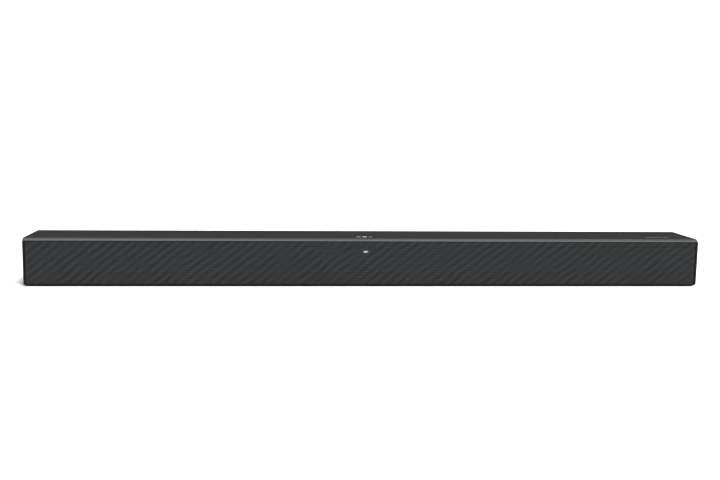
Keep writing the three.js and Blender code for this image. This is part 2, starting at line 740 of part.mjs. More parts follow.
// Key cap, with a flange that stops it in its opening and a stem that works the switch.
function key() {
  const halfX = KEY_WIDTH / 2;
  const halfY = KEY_LENGTH / 2;
  return join(
    block([-halfX, halfX], [-halfY, halfY], [KEY_FLANGE_TOP - 0.5, TOP - KEY_SINK]),
    block([-halfX, halfX], [-halfY - 1.2, halfY + 1.2], [KEY_FLANGE_TOP - 1, KEY_FLANGE_TOP]),
    alongZ(circle(0, 0, KEY_STEM_RADIUS), [SWITCH_TOP - 0.9, KEY_FLANGE_TOP - 0.5], 5),
  );
}

// Push switch with a well in its top for the stem.
function tactSwitch() {
  const half = SWITCH_SIZE / 2;
  return cut(
    block([-half, half], [-half, half], [KEY_BOARD_TOP + FIT, SWITCH_TOP]),
    alongZ(circle(0, 0, KEY_STEM_RADIUS + 0.25), [SWITCH_TOP - 1.9, SWITCH_TOP + 1], 5),
  );
}

['volume_down', 'power', 'volume_up'].forEach((name, place) => {
  const spot = groupAt((place - 1) * KEY_PITCH, KEY_Y, 0);
  addPiece(`${name}_key`, key(), FINISH.keyPlastic, spot);
  addPiece(`${name}_switch`, tactSwitch(), FINISH.chipBlack, spot);
});

const KEY_BOARD_HALF = KEY_PITCH + KEY_WIDTH / 2 + 6;
addPiece(
  'key_board',
  block(
    [-KEY_BOARD_HALF, KEY_BOARD_HALF],
    [KEY_Y - 7, KEY_Y + 7],
    [KEY_BOARD_TOP - BOARD, KEY_BOARD_TOP],
  ),
  FINISH.board,
);

// ---------------------------------------------------------------- rear bays

// Pocket behind an opening in the case's rear, with cut-outs in its floor.
function bay([left, right], cutouts) {
  const pocket = cut(
    join(
      block(
        [left - BAY_WALL, right + BAY_WALL],
        [BAY_FLOOR - BAY_WALL, BACK - WALL - FIT],
        [BAY_Z[0] - BAY_WALL, BAY_Z[1] + BAY_WALL],
      ),
      block(
        [left - 4, right + 4],
        [BACK - WALL - FIT - BAY_WALL, BACK - WALL - FIT],
        [BAY_Z[0] - 4, BAY_Z[1] + 4],
      ),
    ),
    block([left, right], [BAY_FLOOR, BACK], BAY_Z),
  );
  return cut(pocket, ...cutouts);
}

// Sockets stand on the main board's rear edge: centre, width, height and mouth of each.
const SOCKETS = {
  hdmi: { x: -56, width: 15.4, height: 6.2 },
  optical: { x: -31, width: 10.6, height: 10.6 },
  usb: { x: -8, width: 13.4, height: 6.4 },
  audio: { x: 11, width: 9, height: 9 },
};
const SOCKET_Y = [BAY_FLOOR - SOCKET_DEPTH, BAY_FLOOR];

function socketBlock({ x, width, height }, gap = 0) {
  return block(
    [x - width / 2 - gap, x + width / 2 + gap],
    [SOCKET_Y[0], SOCKET_Y[1] + gap],
    [SOCKET_Z - gap, SOCKET_Z + height + gap],
  );
}

// Thin metal shell with a tongue in it, as on a flat digital plug's socket.
function tonguedSocket(size, shell, tongueWidth, tongueZ) {
  const { x, width, height } = size;
  const mouth = block(
    [x - width / 2 + shell, x + width / 2 - shell],
    [BAY_FLOOR - SOCKET_DEPTH + 3, BAY_FLOOR + 1],
    [SOCKET_Z + shell, SOCKET_Z + height - shell],
  );
  const tongue = block(
    [x - tongueWidth / 2, x + tongueWidth / 2],
    [BAY_FLOOR - SOCKET_DEPTH + 2, BAY_FLOOR - 1.5],
    tongueZ,
  );
  return join(cut(socketBlock(size), mouth), tongue);
}

const hdmiMiddle = SOCKET_Z + SOCKETS.hdmi.height / 2;
const usbTop = SOCKET_Z + SOCKETS.usb.height;
addPiece(
  'hdmi_socket',
  tonguedSocket(SOCKETS.hdmi, 0.7, 11.6, [hdmiMiddle - 0.4, hdmiMiddle + 0.7]),
  FINISH.platedSteel,
);
addPiece(
  'usb_socket',
  tonguedSocket(SOCKETS.usb, 0.6, 11, [usbTop - 3, usbTop - 1.2]),
  FINISH.platedSteel,
);

const OPTICAL_WALL = 1;
addPiece(
  'optical_socket',
  cut(socketBlock(SOCKETS.optical), block(
    [SOCKETS.optical.x - SOCKETS.optical.width / 2 + OPTICAL_WALL,
      SOCKETS.optical.x + SOCKETS.optical.width / 2 - OPTICAL_WALL],
    [BAY_FLOOR - 10, BAY_FLOOR + 1],
    [SOCKET_Z + OPTICAL_WALL, SOCKET_Z + SOCKETS.optical.height - OPTICAL_WALL],
  )),
  FINISH.chipBlack,
);

const audioMiddle = SOCKET_Z + SOCKETS.audio.height / 2;
addPiece(
  'audio_socket',
  cut(
    socketBlock(SOCKETS.audio),
    alongY(circle(SOCKETS.audio.x, audioMiddle, 1.8), [BAY_FLOOR - 12, BAY_FLOOR + 1], 6),
  ),
  FINISH.chipBlack,
);

addPiece(
  'connection_bay',
  bay(SOCKET_BAY_X, Object.values(SOCKETS).map((size) => socketBlock(size, FIT))),
  FINISH.casePlastic,
);

// Two-pin mains inlet: its flange lies in the power bay, its body goes through the bay's floor.
const INLET = { width: 20.6, height: 12.6, depth: 15, flange: 1.3 };
const INLET_FACE = BAY_FLOOR + FIT + INLET.flange;

function mainsInlet() {
  const outside = join(
    block(
      [INLET_X - INLET.width / 2, INLET_X + INLET.width / 2],
      [BAY_FLOOR - INLET.depth, BAY_FLOOR + FIT + 0.1],
      [INLET_Z - INLET.height / 2, INLET_Z + INLET.height / 2],
    ),
    block(
      [INLET_X - INLET.width / 2 - 2, INLET_X + INLET.width / 2 + 2],
      [BAY_FLOOR + FIT, INLET_FACE],
      [INLET_Z - INLET.height / 2 - 2, INLET_Z + INLET.height / 2 + 2],
    ),
  );
  const cavity = alongY(stadium(INLET_X, INLET_Z, 16.6, 8.8), [INLET_FACE - 12, INLET_FACE + 1], 5);
  const pins = both((side) => (
    alongY(circle(INLET_X + side * 4.3, INLET_Z, 1.2), [INLET_FACE - 12.5, INLET_FACE - 2], 4)
  ));
  return join(cut(outside, cavity), ...pins);
}

addPiece('mains_inlet', mainsInlet(), FINISH.chipBlack);
addPiece(
  'power_bay',
  bay(POWER_BAY_X, [block(
    [INLET_X - INLET.width / 2 - FIT, INLET_X + INLET.width / 2 + FIT],
    [BAY_FLOOR - BAY_WALL - 1, BAY_FLOOR + 1],
    [INLET_Z - INLET.height / 2 - FIT, INLET_Z + INLET.height / 2 + FIT],
  )]),
  FINISH.casePlastic,
);

// ---------------------------------------------------------------- boards and what is on them

function board([left, right], back) {
  return block([left, right], [FRONT + BOARD_FRONT, back], [BOARD_HEIGHT, BOARD_TOP]);
}

// Comb of fins on a base, standing on the amplifier chip.
function heatsink() {
  const base = [SOCKET_Z, SOCKET_Z + 3];
  const fins = [0, 1, 2, 3, 4, 5].map((k) => (
    block([-72 + k * 6.4, -70 + k * 6.4], [-18, 6], [base[1] - 0.5, base[1] + 14])
  ));
  return join(block([-72, -38], [-18, 6], base), ...fins);
}

// Bobbin wound between two core halves.
function transformer() {
  return join(
    block([88, 111], [-16, 6], [SOCKET_Z + 3, SOCKET_Z + 18]),
    block([91, 108], [-20, 10], [SOCKET_Z, SOCKET_Z + 21]),
  );
}

addPiece('main_board', board(MAIN_BOARD_X, BOARD_BACK), FINISH.board);
addPiece('power_board', board(POWER_BOARD_X, BOARD_BACK - 5), FINISH.board);
addPiece('heatsink', heatsink(), FINISH.aluminium);
addPiece('wireless_module', block([-6, 16], [-20, -5], [SOCKET_Z, SOCKET_Z + 3.2]), FINISH.platedSteel);
addPiece('transformer', transformer(), FINISH.tape);
addPiece(
  'bulk_capacitor',
  alongZ(circle(57, -10, 8), [SOCKET_Z, SOCKET_Z + 25], 8),
  FINISH.sleeve,
);

// ---------------------------------------------------------------- wall plates, feet and screws

// Steel plate with a keyhole, and a closed cup welded on behind it. The round hole takes a
// screw's head, and the slot above holds it.
function hangerPlate(side) {
  const x = side * HANGER_X;
  const plate = block(
    [x - HANGER_SIZE[0] / 2, x + HANGER_SIZE[0] / 2],
    [BACK - HANGER_PLATE, BACK],
    [HANGER_Z - HANGER_SIZE[1] / 2, HANGER_Z + HANGER_SIZE[1] / 2],
  );
  const [cupBottom, cupTop] = HANGER_CUP_Z;
  const cup = cut(
    block(
      [x - HANGER_CUP_HALF, x + HANGER_CUP_HALF],
      [BACK - HANGER_CUP_DEPTH, BACK - HANGER_PLATE / 2],
      HANGER_CUP_Z,
    ),
    block(
      [x - HANGER_CUP_HALF + HANGER_CUP_WALL, x + HANGER_CUP_HALF - HANGER_CUP_WALL],
      [BACK - HANGER_CUP_DEPTH + HANGER_CUP_WALL, BACK - HANGER_PLATE],
      [cupBottom + HANGER_CUP_WALL, cupTop - HANGER_CUP_WALL],
    ),
  );
  const through = [BACK - HANGER_PLATE - 1, BACK + 1];
  const slotZ = HANGER_Z - 4 + KEYHOLE_TRAVEL / 2;
  return cut(
    join(plate, cup),
    alongY(circle(x, HANGER_Z - 4, KEYHOLE_RADIUS), through, 8),
    alongY(stadium(x, slotZ, KEYHOLE_SLOT, KEYHOLE_TRAVEL + KEYHOLE_SLOT), through, 5),
  );
}

function foot() {
  return alongZ(stadium(0, 0, FOOT_LENGTH, FOOT_WIDTH), [0, UNDERSIDE + FOOT_SEAT - FIT], 4);
}

// Pan-head screw, pointing up, with a cross recess in its head.
function screw() {
  const headTop = UNDERSIDE + 4 - FIT;
  const body = join(
    alongZ(circle(0, 0, SCREW_HEAD_RADIUS), [headTop - 2, headTop], 4),
    alongZ(circle(0, 0, SCREW_RADIUS), [headTop - 0.5, headTop + SCREW_LENGTH], 4),
  );
  const arms = [[1.8, 0.4], [0.4, 1.8]].map(([a, b]) => (
    block([-a, a], [-b, b], [headTop - 3, headTop - 0.9])
  ));
  return cut(body, ...arms);
}

for (const [prefix, side] of [['left', -1], ['right', 1]]) {
  addPiece(`${prefix}_hanger_plate`, hangerPlate(side), FINISH.platedSteel);
  for (const [where, face] of [['front', -1], ['rear', 1]]) {
    const spot = groupAt(side * (END - FOOT_FROM_END), face * (BACK - FOOT_FROM_EDGE), 0);
    addPiece(`${where}_${prefix}_foot`, foot(), FINISH.rubber, spot);
  }
}

for (const [where, [x, y]] of Object.entries(SCREW_PLACES)) {
  addPiece(`${where}_screw`, screw(), FINISH.blackSteel, groupAt(x, y, 0));
}

// ---------------------------------------------------------------- leads inside the case

const OVER_BOARDS = 46; // height of a lead that crosses above the boards
const LOW = FLOOR_TOP + 4.5;
const WOOFER_TAG_X = WOOFER_X - WOOFER_WIDTH / 2 + 5;
const WOOFER_TAG_Y = BAFFLE_BACK + 10;

addPiece('left_speaker_lead', lead([
  [MAIN_BOARD_X[0] + 6, -6, SOCKET_Z + 1.6],
  [MAIN_BOARD_X[0] - 2, -6, SOCKET_Z + 5],
  [MAIN_BOARD_X[0] - 16, -5, LOW + 4],
  [MAIN_BOARD_X[0] - 40, -4, LOW],
  [-BOSS_X + 30, -3, LOW],
  [-WOOFER_TAG_X + 16, -8, LOW + 8],
  [-WOOFER_TAG_X, WOOFER_TAG_Y, DRIVER_Z],
], 1.3, 24), FINISH.lead);
addPiece('right_speaker_lead', lead([
  [MAIN_BOARD_X[1] - 6, -4, SOCKET_Z + 1.6],
  [MAIN_BOARD_X[1] - 2, -2, OVER_BOARDS - 12],
  [MAIN_BOARD_X[1] + 24, 0, OVER_BOARDS],
  [POWER_BOARD_X[1] - 4, 2, OVER_BOARDS - 3],
  [BOSS_X - 12, 2, DRIVER_Z - 2],
  [WOOFER_TAG_X, WOOFER_TAG_Y, DRIVER_Z],
], 1.3, 24), FINISH.lead);
addPiece('mains_lead', lead([
  [INLET_X, BAY_FLOOR - INLET.depth - FIT, INLET_Z],
  [INLET_X, BAY_FLOOR - INLET.depth - 5, INLET_Z],
  [INLET_X - 4, 8, INLET_Z - 2],
  [INLET_X - 7, 7, SOCKET_Z + 3],
  [INLET_X - 7, 7, SOCKET_Z],
], 1.6, 10), FINISH.lead);
addPiece('board_lead', lead([
  [POWER_BOARD_X[0] + 5, 12, SOCKET_Z + 0.3],
  [POWER_BOARD_X[0] + 4, 12, SOCKET_Z + 6],
  [POWER_BOARD_X[0] - 6, 12, SOCKET_Z + 11],
  [MAIN_BOARD_X[1] - 4, 12, SOCKET_Z + 6],
  [MAIN_BOARD_X[1] - 5, 12, SOCKET_Z + 0.3],
], 1.6, 12), FINISH.lead);
addPiece('key_lead', lead([
  [0, KEY_Y + 4, KEY_BOARD_TOP - BOARD - FIT],
  [0, KEY_Y + 5, KEY_BOARD_TOP - 8],
  [-12, KEY_Y + 12, OVER_BOARDS - 16],
  [-20, -2, SOCKET_Z + 6],
  [-20, -2, SOCKET_Z],
], 1.1, 14), FINISH.lead);

export default bar;
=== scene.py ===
import json
import math

import bpy
from mathutils import Euler, Matrix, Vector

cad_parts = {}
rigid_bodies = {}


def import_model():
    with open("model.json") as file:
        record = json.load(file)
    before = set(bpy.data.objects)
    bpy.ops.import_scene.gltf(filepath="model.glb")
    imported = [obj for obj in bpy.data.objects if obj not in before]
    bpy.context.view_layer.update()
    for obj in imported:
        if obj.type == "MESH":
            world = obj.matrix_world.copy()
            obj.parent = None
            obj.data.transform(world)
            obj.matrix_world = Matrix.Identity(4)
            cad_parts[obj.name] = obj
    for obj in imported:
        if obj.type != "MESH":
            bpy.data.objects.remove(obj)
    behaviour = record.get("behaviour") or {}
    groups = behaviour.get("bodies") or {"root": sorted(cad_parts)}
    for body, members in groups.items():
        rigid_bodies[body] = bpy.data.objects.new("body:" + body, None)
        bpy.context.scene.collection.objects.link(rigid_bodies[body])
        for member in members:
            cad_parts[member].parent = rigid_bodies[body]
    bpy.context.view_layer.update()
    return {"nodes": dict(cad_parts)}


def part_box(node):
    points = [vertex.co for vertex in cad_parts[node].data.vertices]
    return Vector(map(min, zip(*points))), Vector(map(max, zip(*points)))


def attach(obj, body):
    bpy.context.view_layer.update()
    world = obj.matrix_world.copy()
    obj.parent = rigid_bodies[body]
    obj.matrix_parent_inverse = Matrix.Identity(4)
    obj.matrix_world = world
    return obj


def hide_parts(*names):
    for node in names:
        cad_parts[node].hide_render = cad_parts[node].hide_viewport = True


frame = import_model()

# ------------------------------------------------------------------ lid
# The lid is one moulding of charcoal ABS with a fine spark-eroded grain. A wide flat chamfer
# runs along its front edge, ribs under it locate it in the case, and screws from below hold it.


class Wire:
    """One output of a shader node. Arithmetic written on it adds Math nodes."""

    def __init__(self, tree, socket):
        self.tree = tree
        self.socket = socket

    def node(self, kind, settings=None, inputs=None, output=0):
        made = self.tree.nodes.new(kind)
        for name, value in (settings or {}).items():
            setattr(made, name, value)
        for name, value in (inputs or {}).items():
            if isinstance(value, Wire):
                self.tree.links.new(value.socket, made.inputs[name])
            else:
                made.inputs[name].default_value = value
        return Wire(self.tree, made.outputs[output])

    def maths(self, operation, *values):
        return self.node("ShaderNodeMath", {"operation": operation}, dict(enumerate(values)))

    def __add__(self, other):
        return self.maths("ADD", self, other)

    def __radd__(self, other):
        return self.maths("ADD", other, self)

    def __sub__(self, other):
        return self.maths("SUBTRACT", self, other)

    def __rsub__(self, other):
        return self.maths("SUBTRACT", other, self)

    def __mul__(self, other):
        return self.maths("MULTIPLY", self, other)

    def __rmul__(self, other):
        return self.maths("MULTIPLY", other, self)

    def __abs__(self):
        return self.maths("ABSOLUTE", self)


def coordinates(name):
    """A new material, as the wires of its Object coordinates and of their three parts."""
    material = bpy.data.materials.new(f"{name}_finish")
    material.use_nodes = True
    material.node_tree.nodes.clear()
    here = material.node_tree.nodes.new("ShaderNodeTexCoord")
    place = Wire(material.node_tree, here.outputs["Object"])
    return place, *[place.node("ShaderNodeSeparateXYZ", {}, {0: place}, k) for k in range(3)]


def grain(place, size, detail=2.0, roughness=0.55):
    """Cloudy noise from 0 to 1 whose lumps are about size metres across."""
    return place.node(
        "ShaderNodeTexNoise", {},
        {"Vector": place, "Scale": 1 / size, "Detail": detail, "Roughness": roughness},
    )


def ramp(value, low, high, to_low=0.0, to_high=1.0):
    """A soft step from to_low to to_high as value goes from low to high."""
    return value.node(
        "ShaderNodeMapRange", {"interpolation_type": "SMOOTHSTEP"},
        {"Value": value, "From Min": low, "From Max": high, "To Min": to_low, "To Max": to_high},
    )


def wave(value, length, shape="SINE"):
    """A sine or cosine of value, from -1 to 1, that repeats every length metres."""
    turns = value * (2 * math.pi / length)
    return turns.maths(shape, turns)


def root(value):
    """The square root of value."""
    return value.maths("SQRT", value)


def most(first, second):
    """The larger of two values."""
    return first.maths("MAXIMUM", first, second)


def inside(value, middle, half, edge=0.00006):
    """1 where value is within half of middle, with an edge that fades over edge metres."""
    return 1 - ramp(abs(value - middle), half - edge, half + edge)


def colours(factor, first, second):
    """The first colour where factor is 0 and the second where it is 1."""
    return factor.node("ShaderNodeMix", {"data_type": "RGBA"}, {0: factor, 6: first, 7: second}, 2)


def shade(level, warmth=0.0):
    """A near-neutral colour of that reflectance."""
    return (level * (1 + warmth), level, level * (1 - warmth), 1.0)


def coat(place, inputs, height=None, depth=0.0, strength=1.0):
    """Finishes a material: a surface shader with those inputs, over a relief of that depth."""
    if height is not None:
        inputs["Normal"] = place.node(
            "ShaderNodeBump", {}, {"Height": height, "Distance": depth, "Strength": strength},
        )
    surface = place.node("ShaderNodeBsdfPrincipled", {}, inputs)
    out = place.tree.nodes.new("ShaderNodeOutputMaterial")
    place.tree.links.new(surface.socket, out.inputs["Surface"])


def only(piece):
    """Selects that piece and nothing else."""
    for other in bpy.context.scene.objects:
        other.select_set(False)
    piece.hide_viewport = False
    piece.select_set(True)
    bpy.context.view_layer.objects.active = piece


def pick(piece, kind, test):
    """Selects, in edit mode, the vertices, edges or faces whose middle passes test."""
    bpy.ops.object.mode_set(mode="EDIT")
    bpy.ops.mesh.select_all(action="DESELECT")
    bpy.ops.mesh.select_mode(type={"vertices": "VERT", "edges": "EDGE", "polygons": "FACE"}[kind])
    bpy.ops.object.mode_set(mode="OBJECT")
    mesh = piece.data
    for item in getattr(mesh, kind):
        if kind == "vertices":
            item.select = test(item.co)
        elif kind == "polygons":
            item.select = test(item.center)
        else:
            a, b = (mesh.vertices[k].co for k in item.vertices)
            item.select = test((a + b) / 2) and test(a) and test(b)
    bpy.ops.object.mode_set(mode="EDIT")


def apply(piece, kind, **settings):
    """Adds one modifier with those settings and applies it."""
    only(piece)
    made = piece.modifiers.new(kind.lower(), kind)
    for name, value in settings.items():
        setattr(made, name, value)
    bpy.ops.object.modifier_apply(modifier=made.name)


def from_cad(node, name):
    """A new piece that starts from a CAD node's shape, its triangles joined into flat faces."""
    piece = bpy.data.objects.new(name, frame["nodes"][node].data.copy())
    bpy.context.scene.collection.objects.link(piece)
    only(piece)
    bpy.ops.object.mode_set(mode="EDIT")
    bpy.ops.mesh.select_all(action="SELECT")
    bpy.ops.mesh.remove_doubles(threshold=0.000002)
    bpy.ops.mesh.dissolve_limited(angle_limit=math.radians(1))
    bpy.ops.object.mode_set(mode="OBJECT")
    return piece


def round_edges(piece, width, segments, test, sharpness=25):
    """Rounds the sharp edges that pass test."""
    pick(piece, "edges", test)
    bpy.ops.object.mode_set(mode="OBJECT")
    wanted = [e.select for e in piece.data.edges]
    bpy.ops.object.mode_set(mode="EDIT")
    bpy.ops.mesh.select_all(action="DESELECT")
    bpy.ops.mesh.edges_select_sharp(sharpness=math.radians(sharpness))
    bpy.ops.object.mode_set(mode="OBJECT")
    for edge, keep in zip(piece.data.edges, wanted):
        edge.select = edge.select and keep
    bpy.ops.object.mode_set(mode="EDIT")
    bpy.ops.mesh.bevel(offset=width, segments=segments, affect="EDGES", clamp_overlap=True)
    bpy.ops.object.mode_set(mode="OBJECT")


def finish_piece(piece, body, finish, slot, *nodes):
    """Smooths a finished piece, gives it its material, and ties it to the body it moves with."""
    only(piece)
    bpy.ops.object.shade_smooth_by_angle(angle=math.radians(40))
    apply(piece, "WEIGHTED_NORMAL", keep_sharp=True, weight=80)
    piece.data.materials.clear()
    piece.data.materials.append(bpy.data.materials[f"{finish}_finish"])
    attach(piece, body)
    if nodes:
        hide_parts(*nodes)


LID_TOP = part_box("top_cover")[1].z
LID_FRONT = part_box("top_cover")[0].y
LID_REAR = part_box("top_cover")[1].y
LID_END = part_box("top_cover")[1].x
CHAMFER_RUN = 0.0065
CHAMFER_DROP = 0.003
# Two plain bars printed near the right end: the middle of each and half its length.
PRINTED_BARS = ((0.3965, 0.0105), (0.4135, 0.0045))
BAR_WIDTH = 0.0038
KEY_ROW_Y = (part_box("power_key")[0].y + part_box("power_key")[1].y) / 2

place, x, y, z = coordinates("lid_plastic")
pits = grain(place, 0.0006, 3.0, 0.6)
cloud = grain(place, 0.03, 3.0)
bars = sum(inside(x, middle, half, 0.0006) for middle, half in PRINTED_BARS)
bars = bars * inside(y, KEY_ROW_Y - 0.0005, BAR_WIDTH / 2, 0.0003)
wear = ramp(z, LID_TOP - 0.0004, LID_TOP) * ramp(y, LID_FRONT + 0.0085, LID_FRONT + 0.006)
tone = colours(0.35 * pits + 0.65 * cloud, shade(0.015), shade(0.021))
# Painted shade: the lid's colour darkens to near black over its rear 7 to 14 mm, standing in for
# shade at the back edge.
tone = colours(ramp(y, LID_REAR - 0.014, LID_REAR - 0.007), tone, shade(0.005))
# Painted highlight: the chamfer's base colour is lifted to a lighter grey. The clear coat given to
# it below is a real finish.
slope = ramp(y, LID_FRONT + CHAMFER_RUN, LID_FRONT + CHAMFER_RUN - 0.0006)
slope = slope * ramp(z, LID_TOP - CHAMFER_DROP - 0.0002, LID_TOP - CHAMFER_DROP + 0.0001)
tone = colours(slope * 0.8, tone, shade(0.04))
coat(
    place,
    {
        "Base Color": colours(bars * 0.9 + wear * 0.08, tone, shade(0.13)),
        "Roughness": ramp(pits, 0.2, 0.8, 0.6, 0.76),
        "Specular IOR Level": 0.02,
        "Coat Weight": slope * 0.7,
        "Coat Roughness": 0.32,
    },
    pits, 0.00004, 0.5,
)

lid = from_cad("top_cover", "lid")
round_edges(lid, 0.0004, 3, lambda p: p.z > LID_TOP - 0.0002 and p.y < LID_REAR - 0.003)
round_edges(lid, 0.0003, 2, lambda p: p.z > LID_TOP - 0.0034 and abs(p.x) > LID_END - 0.0001)
finish_piece(lid, "cabinet", "lid_plastic", "cover_plastic", "top_cover")

# ------------------------------------------------------------------ keys
# Three caps of the same plastic as the lid, each a separate moulding with a shallow dish in its
# top and a sign printed on it. Each sits in the lid's opening and presses a switch on a board.

KEY_PITCH = 0.0082
SIGN_HALF = 0.0026
SIGN_LINE = 0.0005
SIGN_STRETCH = 0.62
SIGN_DEPTH = 0.0007


def key_sign(name, x, y):
    """Mask of the sign on a key: a bar, a ring with a stroke, or a cross."""
    bar = inside(x, 0, SIGN_HALF) * inside(y, 0, SIGN_LINE)
    if name == "volume_down":
        return bar
    upright = inside(x, 0, SIGN_LINE) * inside(y, 0, SIGN_HALF)
    if name == "volume_up":
        return most(bar, upright)
    from_middle = root(x * x + y * y)
    gap = inside(x, 0, 0.0011) * ramp(y, 0.0, 0.0003)
    stroke = inside(x, 0, SIGN_LINE) * inside(y, 0.0017, 0.0014)
    ring = inside(from_middle, SIGN_HALF - SIGN_LINE, SIGN_LINE) * (1 - gap)
    return most(ring, stroke)


for order, (key, brightness) in enumerate(
    [("volume_down", 0.9), ("power", 0.75), ("volume_up", 0.22)]
):
    middle = (order - 1) * KEY_PITCH
    low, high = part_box(f"{key}_key")
    place, x, y, z = coordinates(f"{key}_plastic")
    pits = grain(place, 0.0005, 3.0)
    sign = key_sign(key, x - middle, (y - KEY_ROW_Y) * SIGN_STRETCH)
    sign = sign * ramp(z, LID_TOP - SIGN_DEPTH - 0.0005, LID_TOP - SIGN_DEPTH)
    coat(
        place,
        {
            "Base Color": colours(
                sign, colours(pits, shade(0.019), shade(0.026)), shade(brightness),
            ),
            "Roughness": ramp(pits, 0.2, 0.8, 0.42, 0.55),
            "Specular IOR Level": 0.1,
        },
        pits, 0.00003, 0.5,
    )
    cap = from_cad(f"{key}_key", f"{key}_cap")
    pick(cap, "polygons", lambda p: p.z > high.z - 0.00005)
    bpy.ops.mesh.inset(thickness=0.0009, depth=0)
    bpy.ops.mesh.inset(thickness=0.0009, depth=-0.00012)
    bpy.ops.mesh.inset(thickness=0.0009, depth=-0.00008)
    bpy.ops.object.mode_set(mode="OBJECT")
    round_edges(cap, 0.0003, 3, lambda p: p.z > high.z - 0.0026)
    finish_piece(cap, f"{key}_key", f"{key}_plastic", "key_plastic", f"{key}_key")

# ------------------------------------------------------------------ grille
# One sheet of 0.8 mm steel, punched with staggered round holes, folded back along all four edges
# and powder coated. A slot lets the status light through. Here it is cut in three along its webs.

GRILLE_LOW, GRILLE_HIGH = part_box("front_grille")
LIGHT_LOW, LIGHT_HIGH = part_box("light_pipe")
LIGHT_FLANGE = 0.002
LENS_HALF_HEIGHT = 0.00145
LIGHT_Z = LIGHT_HIGH.z - LIGHT_FLANGE - LENS_HALF_HEIGHT
HOLE_PITCH = 0.0025
HOLE_RADIUS = 0.00084
ROW = HOLE_PITCH * math.sqrt(3) / 2
ROWS_UNDER_LIGHT = 19
SHEET = 0.0008
FOLD = GRILLE_HIGH.y - GRILLE_LOW.y
# Faint slanting streaks in the paint: their pitch, direction and how far they wander.
STREAK_PITCH = 0.0088
STREAK_SLANT = (0.62, 0.78)
STREAK_WANDER = 7.0

place, x, y, z = coordinates("grille_paint")
grit = grain(place, 0.0004, 2.0)
cloud = grain(place, 0.05, 3.0)
streak = (x * STREAK_SLANT[0] - z * STREAK_SLANT[1]) * (2 * math.pi / STREAK_PITCH)
streak = streak.maths("SINE", streak + (cloud - 0.5) * STREAK_WANDER)
streak = streak * ramp(grain(place, 0.02, 3.0), 0.36, 0.62, 0.25, 1.3)
paint = colours(
    0.5 + streak * 0.42 + (cloud - 0.5) * 0.5,
    (0.017, 0.0183, 0.0195, 1), (0.033, 0.035, 0.037, 1),
)
# Painted shade: the sheet's colour darkens to near black along its bottom edge and both ends, and
# partly along its top edge under the lid.
rim = ramp(z, GRILLE_LOW.z + 0.0012, GRILLE_LOW.z + 0.0006)
rim = most(rim, ramp(abs(x), GRILLE_HIGH.x - 0.0018, GRILLE_HIGH.x - 0.001))
rim = most(rim, ramp(z, GRILLE_HIGH.z - 0.0016, GRILLE_HIGH.z - 0.0008) * 0.6)
coat(
    place,
    {
        "Base Color": colours(rim, paint, shade(0.003)),
        "Roughness": ramp(grit, 0.2, 0.8, 0.5, 0.64) + rim * 0.3,
        "Specular IOR Level": 0.14,
    },
    grit, 0.00002, 0.5,
)


def punched_rows(columns, rows, first_row):
    """Rows of hexagonal holes that lie on every second row of the pattern."""
    row_z = LIGHT_Z + (first_row - ROWS_UNDER_LIGHT) * ROW
    left = -(columns - 1) / 2 * HOLE_PITCH
    bpy.ops.mesh.primitive_circle_add(
        vertices=6, radius=HOLE_RADIUS, location=(left, GRILLE_LOW.y, row_z),
        rotation=(math.pi / 2, 0, 0),
    )
    cell = bpy.context.object
    bpy.ops.object.transform_apply(location=True, rotation=True, scale=True)
    bpy.ops.object.mode_set(mode="EDIT")
    bpy.ops.mesh.select_all(action="SELECT")
    bpy.ops.mesh.extrude_edges_move()
    pivot = (left, GRILLE_LOW.y, row_z)
    bpy.ops.transform.resize(
        value=(HOLE_PITCH / 2 / (HOLE_RADIUS * math.cos(math.pi / 6)), 1, ROW / HOLE_RADIUS),
        center_override=pivot,
    )
    bpy.ops.object.mode_set(mode="OBJECT")
    pick(cell, "vertices", lambda p: abs(p.z - row_z) > ROW * 0.7)
    bpy.ops.transform.resize(value=(1, 1, 0.5), center_override=pivot)
    bpy.ops.object.mode_set(mode="OBJECT")
    steps = [((HOLE_PITCH, 0, 0), columns), ((0, 0, 2 * ROW), rows)]
    for offset, count in steps:
        apply(
            cell, "ARRAY", count=count, use_relative_offset=False, use_constant_offset=True,
            constant_offset_displace=offset, use_merge_vertices=True, merge_threshold=0.00001,
        )
    return cell


half_columns = round((GRILLE_HIGH.x - 0.0014) / HOLE_PITCH - 0.5)
even_rows = punched_rows(2 * half_columns + 1, ROWS_UNDER_LIGHT // 2 + 4, 0)
odd_rows = punched_rows(2 * half_columns, ROWS_UNDER_LIGHT // 2 + 3, 1)
only(even_rows)
odd_rows.select_set(True)
bpy.ops.object.join()
grille = even_rows
bpy.ops.object.mode_set(mode="EDIT")
bpy.ops.mesh.select_all(action="SELECT")
bpy.ops.mesh.remove_doubles(threshold=0.00002)
bpy.ops.object.mode_set(mode="OBJECT")

# The slot for the light: the webs around it are taken out and filled in flat.
SLOT_SIZE = (0.0073, 0.0035)


def near_slot(p):
    return abs(p.z - LIGHT_Z) < 1.51 * ROW and abs(p.x) < 2.51 * HOLE_PITCH


def over_slot(p):
    return near_slot(p) and (abs(p.z - LIGHT_Z) > ROW / 2 or abs(p.x) < 2 * HOLE_PITCH)


def open_edges(piece, test):
    """Selects, in edit mode, the edges that bound an opening or the outside and pass test."""
    pick(piece, "edges", test)
    bpy.ops.object.mode_set(mode="OBJECT")
    wanted = [e.select for e in piece.data.edges]
    bpy.ops.object.mode_set(mode="EDIT")
    bpy.ops.mesh.select_all(action="DESELECT")
    bpy.ops.mesh.select_non_manifold(
        use_multi_face=False, use_non_contiguous=False, use_verts=False,
    )
    bpy.ops.object.mode_set(mode="OBJECT")
    for edge, keep in zip(piece.data.edges, wanted):
        edge.select = edge.select and keep
    bpy.ops.object.mode_set(mode="EDIT")


